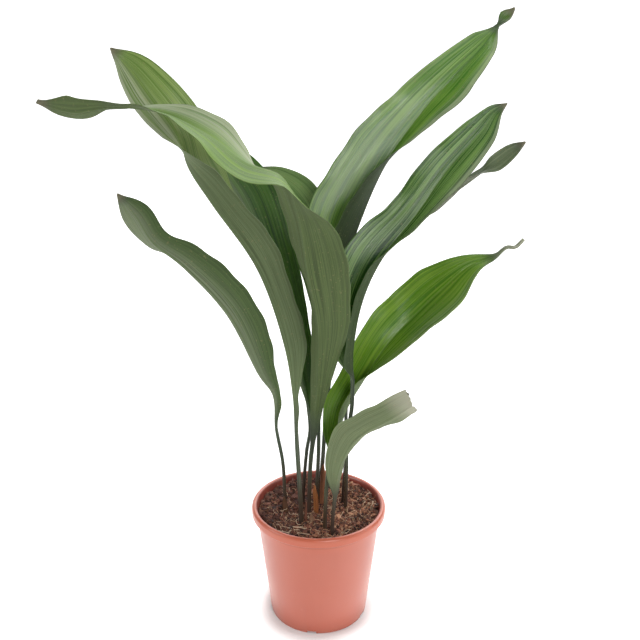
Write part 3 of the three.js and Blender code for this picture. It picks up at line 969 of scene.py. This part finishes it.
class BladeFinish(Finish):
    """A finish that knows its way along and across a blade."""

    def __init__(self, name):
        super().__init__(name)
        self.grain = self.add("UVMap", uv_map="veins").outputs["UV"]
        parts = self.add("SeparateXYZ", [(0, self.grain)])
        self.across, self.along = parts.outputs["X"], parts.outputs["Y"]
        self.reach = self.maths("ABSOLUTE", self.across)
        self.broad = self.streak(self.grain, (5, 3.5, 1), 4.0)
        self.streaks = self.streak(self.grain, (15, 4.5, 1))
        self.fibres = self.streak(self.grain, (48, 7, 1), 2.0)

    def vein(self):
        """1 on each fine vein and 0 halfway between two."""
        drift = self.maths("MULTIPLY", self.noise(self.grain, 6.0), VEIN_DRIFT)
        phase = self.maths("MULTIPLY", self.maths("ADD", self.reach, drift), math.tau * VEINS)
        return self.maths("MULTIPLY_ADD", self.maths("COSINE", phase), 0.5, 0.5)


print("fine veins across a blade:", 2 * VEINS)

# %% [markdown]
# ### Two faces
#
# The upper face is a deep glossy green and the lower one greyer and duller.
# The upper one needs the most care. Streaks of three widths choose between two
# greens. Then come thin olive lines and dark furrows, which keep their edges
# where the streaks are soft.

# %% Greens of the two faces
STREAK_WEIGHTS = (1.8, 1.9, 2.0)  # of the broad streaks, the streaks and the fibres
MEAN_TONE = 0.2  # the tone where all three are halfway
BLOTCH_WEIGHT = 0.6


def upper_green(leaf, upper, deep, contrast):
    """Two greens by streaks of three widths, with olive lines and furrows."""
    tone = MEAN_TONE - contrast * sum(STREAK_WEIGHTS) / 2
    for lines, weight in zip((leaf.broad, leaf.streaks, leaf.fibres), STREAK_WEIGHTS):
        tone = leaf.maths("MULTIPLY_ADD", lines, weight * contrast, tone)
    blotches = leaf.noise(leaf.place(), 16.0, detail=2.0)
    tone = leaf.maths("MULTIPLY_ADD", blotches, BLOTCH_WEIGHT, tone)
    green = leaf.mix(leaf.ramp(tone, 0.0, 1.0), deep, upper)
    olive_lines = leaf.ramp(leaf.streak(leaf.grain, (36, 3, 1)), 0.55, 0.7)
    green = leaf.tinge(green, olive_lines, 0.5, shade(upper, 0.75, 0.09))
    furrows = leaf.ramp(leaf.streak(leaf.grain, (44, 2.5, 1)), 0.52, 0.64)
    return leaf.tinge(green, furrows, 0.6, shade(deep, 0.45))


def under_green(leaf, under):
    """A greyer green with faint streaks, and dimmer where broad streaks are low."""
    dim = shade(under, 0.45)
    lines = leaf.maths("MULTIPLY", leaf.streak(leaf.grain, (36, 5, 1)), 0.7)
    tone = leaf.maths("MULTIPLY_ADD", leaf.fibres, 0.8, lines)
    green = leaf.mix(leaf.ramp(tone, 0.55, 0.85), dim, under)
    dimmed = leaf.maths("SUBTRACT", 0.4, leaf.ramp(leaf.broad, 0.38, 0.6))
    return leaf.mix(dimmed, green, dim)


print("olive of a mid green:", [round(part, 3) for part in shade((0.2, 0.36, 0.1), 0.75, 0.09)])

# %% [markdown]
# ### Painted sheen
#
# Pale bands painted across some blades stand in for the sheen and light that
# fall on them. A band is a smooth step across the blade, broken up by the
# streaks, so that it follows the veins and is not a smooth patch.

# %% Bands of painted sheen
# pale tint of the painted sheen
SHEEN_TINT = (0.5, 0.52, 0.4)
PAINTED_SHEEN_BANDS = {
    # name: for each band of painted sheen, its side, its start and end across, and how much above and below
    "leaf_arching": [(-1, 0.05, 0.55, 0.7, 0)],
    "leaf_high_left": [(1, 0.05, 0.55, 0.7, 0)],
    "leaf_low_left": [(-1, -0.75, 0.1, 0.5, 0.32)],
    "leaf_inner_left": [(1, 0.1, 0.8, 0.4, 0)],
    "leaf_top_right": [(1, -0.2, 0.6, 0.18, 0), (-1, 0.45, 0.9, 0.6, 0)],
    "leaf_mid_right": [(-1, 0.55, 0.95, 0.5, 0)],
    "leaf_bright_right": [(-1, 0.5, 1.0, 0.3, 0)],
}


def with_painted_sheen(leaf, name, upper_side, under_side):
    """The greens of both faces with the leaf's own bands of painted sheen on them."""
    lines = leaf.ramp(leaf.streaks, 0.25, 0.6)
    for side, start, end, above, below in PAINTED_SHEEN_BANDS.get(name, []):
        band = leaf.ramp(leaf.maths("MULTIPLY", leaf.across, side), start, end)
        band = leaf.maths("MULTIPLY", band, lines)
        # painted sheen: a pale tint where light shines on the blade
        upper_side = leaf.tinge(upper_side, band, above, SHEEN_TINT)
        under_side = leaf.tinge(under_side, band, below, SHEEN_TINT)
    return upper_side, under_side


print("sheened leaves:", len(PAINTED_SHEEN_BANDS))

# %% [markdown]
# ### Marks that both faces share
#
# Veins, midrib and margin show pale on both faces, and small specks lie all
# over. The stalk is darker than the blade and nearly brown at its foot. Tips
# wither first: most only at the very end, two over about the last eighth.

# %% Layers of marks
LIMP_TIP = (0.2, 0.17, 0.1)
TIPS = {  # where a leaf starts to wither, from 0 at its foot to 1, and the colour
    "leaf_low_right": (0.86, (0.55, 0.52, 0.42)),
    "leaf_bright_right": (0.88, (0.42, 0.42, 0.3)),
}
STALK_DARK = (0.014, 0.022, 0.014)
STALK_LIGHT = (0.055, 0.072, 0.048)
STALK_FOOT = (0.055, 0.02, 0.015)
SPECK = (0.32, 0.26, 0.12)


def marked(leaf, name, green, under, vein):
    """The green with each mark laid over the last."""
    pale = shade(under, 1.35, 0.02)
    vein_lines = leaf.maths("MULTIPLY", leaf.ramp(vein, 0.55, 1.0), leaf.ramp(leaf.streaks, 0.35, 0.6))
    specks = leaf.ramp(leaf.noise(leaf.place(), 420.0, detail=1.0), 0.68, 0.73)
    stem = leaf.mix(leaf.fibres, STALK_DARK, STALK_LIGHT)
    withers, tip_colour = TIPS.get(name, (0.975, LIMP_TIP))
    layers = [
        # (where, how much, colour)
        (vein_lines, 0.2, pale),
        (leaf.fade(leaf.reach, 0.01, 0.04), 0.3, pale),
        (specks, 0.4, SPECK),
        (leaf.ramp(leaf.reach, 0.975, 1.0), 0.6, pale),
        (leaf.mark("stalk"), 0.85, stem),
        (leaf.ramp(leaf.mark("tip"), withers, 1.0), 0.6, tip_colour),
        (leaf.fade(leaf.along, 0.025, 0.11), 0.75, STALK_FOOT),
    ]
    for where, amount, colour in layers:
        green = leaf.tinge(green, where, amount, colour)
    return green


print("leaves that wither early:", len(TIPS))

# %% [markdown]
# ### Gloss and glow
#
# The upper face is smoother than the lower one. Veins and fibres stand out by
# a hair, which breaks up the sheen. Light that passes through the blade is
# yellower than the light it throws back, and a translucent shader adds it
# everywhere but in the stalk.

# %% Leaf finish
UNDER_ROUGHNESS = 0.78
LET_THROUGH = 0.2  # share of the light that passes through a blade


def leaf_finish(name, upper, deep, under, glow, gloss, contrast):
    """upper, deep and under are greens; glow is the colour of light let through."""
    leaf = BladeFinish(name)
    on_top = leaf.ramp(leaf.mark("upper"), 0.4, 0.6)
    sides = upper_green(leaf, upper, deep, contrast), under_green(leaf, under)
    # lays the painted sheen on both faces
    upper_side, under_side = with_painted_sheen(leaf, name, *sides)
    vein = leaf.vein()
    green = marked(leaf, name, leaf.mix(on_top, under_side, upper_side), under, vein)

    relief = leaf.maths("MULTIPLY_ADD", vein, 0.5, leaf.maths("MULTIPLY", leaf.fibres, 0.9))
    leaf.bump(relief, 0.35, 0.0004)
    dull = leaf.maths("SUBTRACT", leaf.mix(on_top, grey(UNDER_ROUGHNESS), grey(gloss)), 0.2)
    rough = leaf.maths("MULTIPLY_ADD", leaf.streaks, 0.4, dull)
    leaf.look(Base_Color=green, Roughness=rough, IOR=1.45, Specular_IOR_Level=0.5)

    through = leaf.add("BsdfTranslucent", [("Color", leaf.mix(0.35, green, glow))])
    blade = leaf.maths("SUBTRACT", 1.0, leaf.mark("stalk"))
    share = leaf.maths("MULTIPLY", blade, LET_THROUGH)
    both = leaf.add("MixShader", [(0, share), (1, leaf.shader.outputs[0]), (2, through.outputs[0])])
    leaf.set(leaf.output.inputs["Surface"], both.outputs[0])
    return leaf


print("light let through a blade:", LET_THROUGH)

# %% [markdown]
# ### Ten leaves, ten greens
#
# Leaves of one plant differ in age, and each green here also holds some of
# the light or shade its leaf gets. Old ones that hang are grey-green, the inner
# ones, in shade, are painted nearly black-green, and the young one on the right is bright.

# %% Greens
GREENS = {
    # name: (upper, deep, under, glow, gloss, contrast)
    "leaf_low_left": (
        (0.12, 0.22, 0.04), (0.03, 0.085, 0.015), (0.084, 0.136, 0.042), (0.3, 0.45, 0.1), 0.36, 1,
    ),
    "leaf_high_left": (
        (0.3, 0.41, 0.115), (0.1, 0.2, 0.03), (0.165, 0.22, 0.1), (0.35, 0.5, 0.1), 0.34, 1,
    ),
    "leaf_arching": (
        (0.2, 0.36, 0.025), (0.09, 0.2, 0.014), (0.1, 0.145, 0.046), (0.35, 0.5, 0.1), 0.6, 1,
    ),
    # the inner leaf's greens are darkened as painted shade
    "leaf_inner_left": (
        (0.09, 0.22, 0.02), (0.012, 0.05, 0.004), (0.05, 0.1, 0.02), (0.2, 0.4, 0.06), 0.5, 0.7,
    ),
    "leaf_back": (
        (0.22, 0.34, 0.11), (0.1, 0.19, 0.05), (0.13, 0.19, 0.09), (0.3, 0.45, 0.1), 0.4, 1,
    ),
    "leaf_top_right": (
        (0.25, 0.45, 0.07), (0.05, 0.18, 0.015), (0.03, 0.06, 0.012), (0.35, 0.5, 0.1), 0.2, 1.2,
    ),
    "leaf_mid_right": (
        (0.22, 0.38, 0.1), (0.012, 0.075, 0.004), (0.05, 0.085, 0.025), (0.25, 0.4, 0.08), 0.24, 1.5,
    ),
    "leaf_behind_right": (
        (0.21, 0.26, 0.14), (0.09, 0.14, 0.05), (0.17, 0.19, 0.125), (0.3, 0.4, 0.15), 0.4, 1,
    ),
    "leaf_bright_right": (
        (0.25, 0.43, 0.04), (0.075, 0.21, 0.01), (0.12, 0.19, 0.05), (0.35, 0.6, 0.03), 0.3, 1,
    ),
    "leaf_low_right": (
        (0.14, 0.2, 0.07), (0.09, 0.14, 0.04), (0.2, 0.25, 0.122), (0.35, 0.45, 0.2), 0.42, 0.8,
    ),
}

for name, greens in GREENS.items():
    skin = leaf_skin(LEAVES[name])
    piece = link_mesh(name.replace("leaf", "blade"), skin, leaf_finish(name, *greens))
    stand_in(piece, name)

# %% [markdown]
# ## Papery sheaths
#
# Each new leaf pushes up through brown scales, and the dry scales stay round
# the foot of its stalk. A scale is a short pointed gutter, so the leaf's own
# section makes it: a narrow blade with a strong curl and no stalk. Its finish
# is dry, with torn fibres that run up it.

# %% Sheaths
SHEATH_CURL = 70
SHEATH_FOLD = 30
SHEATH_STEPS = {"face_steps": 14, "along_steps": 26}
SHEATHS = {
    # name: (foot, tip, top, half width, direction it faces away from, colour)
    "sheath_orange": ((-4, -3.5), (-5, -4), 178, 4.2, 250, (0.52, 0.19, 0.06)),
    "sheath_back": ((4, 17), (6, 16), 197, 5, 260, (0.33, 0.13, 0.06)),
    "sheath_left": ((-42, -0.5), (-44, -1), 160, 4, 270, (0.17, 0.08, 0.04)),
    "sheath_front": ((-15, -18.5), (-15.5, -19), 163, 3.4, 330, (0.24, 0.095, 0.055)),
    "sheath_low": ((-8.5, -25), (-9, -27), 152, 3.4, 280, (0.34, 0.2, 0.12)),
}


def sheath_as_leaf(foot, tip, top, width, facing):
    """A sheath in the words of a leaf."""
    lift = top - STALK_FOOT_Z
    middle = ((foot[0] + tip[0]) / 2, (foot[1] + tip[1]) / 2)
    keys = [
        (*foot, STALK_FOOT_Z + 2, 0, SHEATH_FOLD, width * 0.8),
        (*foot, STALK_FOOT_Z + 0.35 * lift, 0, SHEATH_FOLD, width),
        (*middle, STALK_FOOT_Z + 0.7 * lift, 0, SHEATH_FOLD, width * 0.9),
        (*tip, top, 0, SHEATH_FOLD, 0.8),
    ]
    words = {"lean": facing, "curl": SHEATH_CURL, "wave": 0, "stalk": 0.3, "keys": keys}
    return words | {"flutter": 0.4, "pleat": 0.2}


def sheath_finish(name, colour):
    """Dry brown paper with fibres along it."""
    paper = Finish(name)
    grain = paper.add("UVMap", uv_map="veins").outputs["UV"]
    fibres = paper.streak(grain, (14, 22, 1), detail=4.0, rough=0.7)
    paper.look(Base_Color=paper.mix(paper.ramp(fibres, 0.4, 0.6), shade(colour, 0.3), colour))
    paper.look(Roughness=0.7, IOR=1.4)
    paper.bump(fibres, 0.8, 0.0005)
    return paper


for name, (foot, tip, top, width, facing, colour) in SHEATHS.items():
    skin = leaf_skin(sheath_as_leaf(foot, tip, top, width, facing), **SHEATH_STEPS)
    piece = link_mesh(name.replace("sheath", "scale"), skin, sheath_finish(name + "_paper", colour))
    stand_in(piece, name)

# %% [markdown]
# ## Potting mix
#
# The mix is composted bark and coir: a lumpy dark bed with crumbs, flat flakes
# of bark and tan fibres that lie every way. The bed is one spun solid whose
# top is moved up and down by noise. Crumbs, flakes and fibres are real shapes
# on top of it, because bump alone looks flat where the light comes in low over
# the rim.

# %% Bed of compost
GAP = 0.35
SOIL_LEVEL = 137
BED_TOP = SOIL_LEVEL + 1  # before the lumps are raised
BED_SHOULDER = 134
SOIL_RINGS = 60
SOIL_STEPS = 150
HEAP_HEIGHT = 7  # how high it is heaped behind
HEAP_TURN = 110  # where that is, in degrees from +X
HEAP_RISES = (40, 76)  # radii between which it rises
SIDE_HEIGHT = 3.5  # the same for the lower heap on the right
SIDE_TURN = 10
SIDE_RISES = (50, 76)
CLOD_HEIGHT = 1.6
CLOD_WIDTH = 7


def bed_radius(z):
    """Radius of the bed where it meets the pot's wall."""
    return pot_radius(z) - POT_WALL - GAP


def soil_height(x, y):
    """Height of the top of the bed, low at the front and heaped behind."""
    r = math.hypot(x, y)
    turn = math.atan2(y, x)
    behind = 0.5 + 0.5 * math.cos(turn - math.radians(HEAP_TURN))
    heap = HEAP_HEIGHT * smooth(*HEAP_RISES, r) * behind
    side = SIDE_HEIGHT * smooth(*SIDE_RISES, r) * max(0, math.cos(turn - math.radians(SIDE_TURN)))
    lumps = 1.6 * math.sin(x * 0.19 + 1.3) * math.sin(y * 0.23 + 0.4)
    grit = 0.9 * math.sin(x * 0.47 + y * 0.31) + 0.7 * math.sin(y * 0.61 - x * 0.37 + 2)
    return SOIL_LEVEL + heap + side + lumps + grit


def bed_section():
    """(radius, height) round the bed: along its floor, up its side and back over its top."""
    floor = FOOT_HEIGHT + FLOOR_THICKNESS + GAP
    corner = floor + FLOOR_CORNER
    section = [(0, floor), (bed_radius(corner) - 2.4, floor)]
    section += [(bed_radius(z), z) for z in (corner, WALL_MIDDLE, BED_SHOULDER)]
    rings = [1 - ring / SOIL_RINGS for ring in range(SOIL_RINGS + 1)]
    return section + [(bed_radius(BED_TOP) * share, BED_TOP) for share in rings]


def raise_lumps(bed):
    """Moves the top of the bed to its height, with clods on it."""
    for vert in bed.verts:
        if vert.co.z > SOIL_LEVEL * MM:
            x, y = vert.co.x / MM, vert.co.y / MM
            clods = CLOD_HEIGHT * noise.fractal(Vector((x, y, 3)) / CLOD_WIDTH, 0.7, 2.1, 4)
            vert.co.z = (soil_height(x, y) + clods) * MM


def compost_finish():
    """Damp brown earth with paler grains."""
    earth = Finish("compost")
    place = earth.place()
    damp = earth.noise(place, 60.0, detail=6.0, rough=0.7)
    grains = earth.noise(place, 700.0, detail=4.0, rough=0.8)
    colour = earth.mix(earth.ramp(damp, 0.35, 0.65), (0.025, 0.011, 0.009), (0.15, 0.062, 0.042))
    earth.look(Base_Color=earth.tinge(colour, grains, 0.5, (0.3, 0.15, 0.09)), Roughness=0.95)
    earth.bump(grains, 1.0, 0.0015)
    return earth


bed = spun(bed_section(), SOIL_STEPS)
raise_lumps(bed)
stand_in(link_mesh("compost_bed", bed, compost_finish()), "soil")

# %% [markdown]
# ### Crumbs and flakes
#
# Thousands of bits need to be cheap. A crumb is the simplest ball, of twenty
# faces, squashed and with its corners knocked about. A flake is a cube pressed
# flat and pulled out of square. Each bit gets one random tint, kept as an
# attribute, so that one finish colours them all differently. Those on the left
# are darker.

# %% Crumbs and flakes of bark
CRUMB_TILT = 1.5  # radians
FLAKE_TILT = 0.5
KNOCK = 0.22  # how far a corner moves, as a share of the bit
LEFT_TINT_SHARE = 0.55  # how much of its tint a bit on the left keeps

draw = random.Random(7)


def scattered(reach=1.0):
    """A random spot on the bed, as (x, y) in millimetres."""
    r = (bed_radius(BED_TOP) - 2.5) * reach * math.sqrt(draw.random())
    turn = draw.uniform(0, math.tau)
    return r * math.cos(turn), r * math.sin(turn)


def knocked(verts, amount):
    """Moves each corner a little, so that no two bits are alike."""
    for vert in verts:
        vert.co += Vector((draw.uniform(-1, 1), draw.uniform(-1, 1), draw.uniform(-1, 1))) * amount


def settle(mesh, tints, verts, spot, size, tilt):
    """Knocks a bit about, turns it at random, lays it on the bed and tints it."""
    knocked(verts, KNOCK)
    spin = Matrix.Rotation(draw.uniform(0, math.tau), 4, "Z")
    tip = Matrix.Rotation(draw.uniform(-tilt, tilt), 4, "X")
    tip @= Matrix.Rotation(draw.uniform(-tilt, tilt), 4, "Y")
    place = Matrix.Translation(Vector((*spot, soil_height(*spot) + draw.uniform(0, 1.2))) * MM)
    turned = place @ (spin @ tip)
    bmesh.ops.transform(mesh, matrix=turned @ Matrix.Diagonal((*size, 1)), verts=verts)
    tint = draw.random() * (LEFT_TINT_SHARE + (1 - LEFT_TINT_SHARE) * smooth(-30, 10, spot[0]))
    for vert in verts:
        vert[tints] = tint


def crumb(mesh, tints):
    """A squashed ball of bark."""
    spot = scattered()
    size = Vector((1, draw.uniform(0.6, 1), draw.uniform(0.4, 0.9))) * draw.uniform(0.9, 2.6) * MM
    verts = bmesh.ops.create_icosphere(mesh, subdivisions=1, radius=1)["verts"]
    settle(mesh, tints, verts, spot, size, CRUMB_TILT)


def flake(mesh, tints):
    """A flat chip of bark."""
    spot = scattered()
    size = Vector((draw.uniform(4, 11), draw.uniform(2, 5), draw.uniform(0.5, 1.4))) * MM
    verts = bmesh.ops.create_cube(mesh, size=1)["verts"]
    settle(mesh, tints, verts, spot, size, FLAKE_TILT)


print("bed at the wall:", round(bed_radius(BED_TOP), 1), "mm from the axis")

# %% [markdown]
# ### Many bits in one piece
#
# An operator that adds one crumb to a mesh of thousands looks at all of them,
# so the work grows with the square of their number. Bits are therefore made in
# small batches, and each batch is poured into the whole when it is full.

# %% Gathering the bits
CRUMBS = 2400
FLAKES = 300
BATCH = 100
BARK_TINTS = [(0.028, 0.011, 0.009), (0.115, 0.04, 0.026), (0.3, 0.11, 0.06), (0.58, 0.3, 0.17)]


def gathered(count, make):
    """Makes count bits in small batches and joins them."""
    whole = bmesh.new()
    whole.verts.layers.float.new("tint")
    for start in range(0, count, BATCH):
        batch = bmesh.new()
        tints = batch.verts.layers.float.new("tint")
        for _ in range(min(BATCH, count - start)):
            make(batch, tints)
        part = bpy.data.meshes.new("batch")
        batch.to_mesh(part)
        batch.free()
        whole.from_mesh(part)
        bpy.data.meshes.remove(part)
    return whole


def tinted_finish(name, stops, rough):
    """Colours by the tint attribute, with a little noise on each bit."""
    finish = Finish(name)
    ramp = finish.add("ValToRGB", [("Fac", finish.mark("tint"))])
    ramp.color_ramp.elements.remove(ramp.color_ramp.elements[1])
    ramp.color_ramp.elements[0].color = (*stops[0], 1)
    for number, colour in enumerate(stops[1:], 1):
        stop = ramp.color_ramp.elements.new(number / (len(stops) - 1))
        stop.color = (*colour, 1)
    specks = finish.noise(finish.place(), 900.0, detail=4.0, rough=0.7)
    shades = finish.mix(specks, grey(0.55), grey(1.25))
    finish.look(Base_Color=finish.mix(1.0, ramp.outputs["Color"], shades, "MULTIPLY"))
    finish.look(Roughness=rough)
    finish.bump(specks, 0.7, 0.0006)
    return finish


def lie_on_bed(piece):
    """The piece is added to the compost, in place of no node."""
    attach(piece, "root")
    print(piece.name, "has", len(piece.data.polygons), "faces")


bark = tinted_finish("bark", BARK_TINTS, 0.85)
lie_on_bed(link_mesh("bark_crumbs", gathered(CRUMBS, crumb), bark, smooth=False))
lie_on_bed(link_mesh("bark_flakes", gathered(FLAKES, flake), bark, smooth=False))

# %% [markdown]
# ### Fibres
#
# Coir fibres are stiff, thin and tan. Each one is a three-sided tube that
# wanders: its heading changes a little at every step, and it is kept close to
# the bed. The tube is a wrapped grid, as the leaves are, and closes to a point
# at both ends. Now and then a fibre is a splinter instead, pale and straight.

# %% Tubes for fibres
STRAND_SIDES = 3
FIBRE_STEPS = 9


def strand(mesh, tints, points, radius, tint):
    """A thin tube through the points."""
    steps = len(points) - 1
    verts = bmesh.ops.create_grid(mesh, x_segments=STRAND_SIDES, y_segments=steps, size=1)["verts"]
    for vert in verts:
        turn = math.tau * round((vert.co.x + 1) / 2 * STRAND_SIDES) / STRAND_SIDES
        row = round((vert.co.y + 1) / 2 * steps)
        heading = (points[min(row + 1, steps)] - points[max(row - 1, 0)]).normalized()
        first = heading.orthogonal().normalized()
        second = heading.cross(first)
        thick = radius * (1 if 0 < row < steps else 0)
        vert.co = points[row] + (first * math.cos(turn) + second * math.sin(turn)) * thick
        vert[tints] = tint


print("faces of a fibre:", STRAND_SIDES * FIBRE_STEPS)

# %% Fibres of coir
FIBRES = 900
FIBRE_REACH = 0.96  # share of the bed on which fibres start
BARE_SHARE = 0.35  # chance that a fibre stays where fibres are fewest
SPLINTER_CHANCE = 0.006
COIR_TINTS = [(0.2, 0.08, 0.04), (0.45, 0.21, 0.11), (0.65, 0.4, 0.24), (0.8, 0.62, 0.44)]


def fibre_start():
    """A random spot, most often in the right and front of the pot."""
    x, y = scattered(FIBRE_REACH)
    while draw.random() > BARE_SHARE + (1 - BARE_SHARE) * smooth(-60, 0, x - 0.5 * y):
        x, y = scattered(FIBRE_REACH)
    return x, y


def fibre(mesh, tints):
    """One wandering fibre that stays inside the pot."""
    x, y = fibre_start()
    step_length = draw.uniform(5, 20) / FIBRE_STEPS
    heading, climb = draw.uniform(0, math.tau), draw.uniform(-0.2, 0.6)
    bend = draw.uniform(-0.5, 0.5)
    height = draw.uniform(0.3, 1.8)
    limit = bed_radius(BED_TOP) - 1.5
    points = []
    for _ in range(FIBRE_STEPS + 1):
        points.append(Vector((x, y, soil_height(x, y) + height)) * MM)
        heading += bend + draw.uniform(-0.25, 0.25)
        climb += draw.uniform(-0.35, 0.2)
        x += step_length * math.cos(heading)
        y += step_length * math.sin(heading)
        outside = math.hypot(x, y) / limit
        if outside > 1:
            x, y = x / outside, y / outside
        height = max(0.2, height + step_length * climb * 0.6)
    strand(mesh, tints, points, draw.uniform(0.16, 0.45) * MM, draw.random())


def splinter(mesh, tints):
    """A pale straight sliver of wood, at the front on the left."""
    x, y = draw.uniform(-45, -15), draw.uniform(-52, -38)
    turn = draw.uniform(-0.6, 0.1)
    length = draw.uniform(12, 22)
    points = []
    for step in range(FIBRE_STEPS + 1):
        run = length * (step / FIBRE_STEPS - 0.5)
        spot = (x + run * math.cos(turn), y + run * math.sin(turn))
        points.append(Vector((*spot, soil_height(x, y) + 2.5)) * MM)
    strand(mesh, tints, points, draw.uniform(0.35, 0.6) * MM, draw.uniform(0.8, 1))


def thread(mesh, tints):
    """A fibre, or now and then a splinter."""
    make = fibre if draw.random() > SPLINTER_CHANCE else splinter
    make(mesh, tints)


threads = gathered(FIBRES, thread)
bmesh.ops.remove_doubles(threads, verts=threads.verts, dist=1e-7)
bmesh.ops.recalc_face_normals(threads, faces=threads.faces)
lie_on_bed(link_mesh("coir_fibres", threads, tinted_finish("coir", COIR_TINTS, 0.8)))

# %% [markdown]
# ## Root stock
#
# The creeping rhizome is buried, and nothing of it shows. It stays as the
# frame made it, with a scaly brown finish for whoever lifts the plant out.

# %% Rhizome finish
root = Finish("root_stock")
rings = root.noise(root.place(), 160.0, detail=5.0)
root.look(Base_Color=root.mix(rings, (0.09, 0.045, 0.02), (0.3, 0.19, 0.1)), Roughness=0.85)
root.bump(rings, 0.8, 0.001)
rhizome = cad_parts["rhizome"]
rhizome.material_slots[0].material = root.material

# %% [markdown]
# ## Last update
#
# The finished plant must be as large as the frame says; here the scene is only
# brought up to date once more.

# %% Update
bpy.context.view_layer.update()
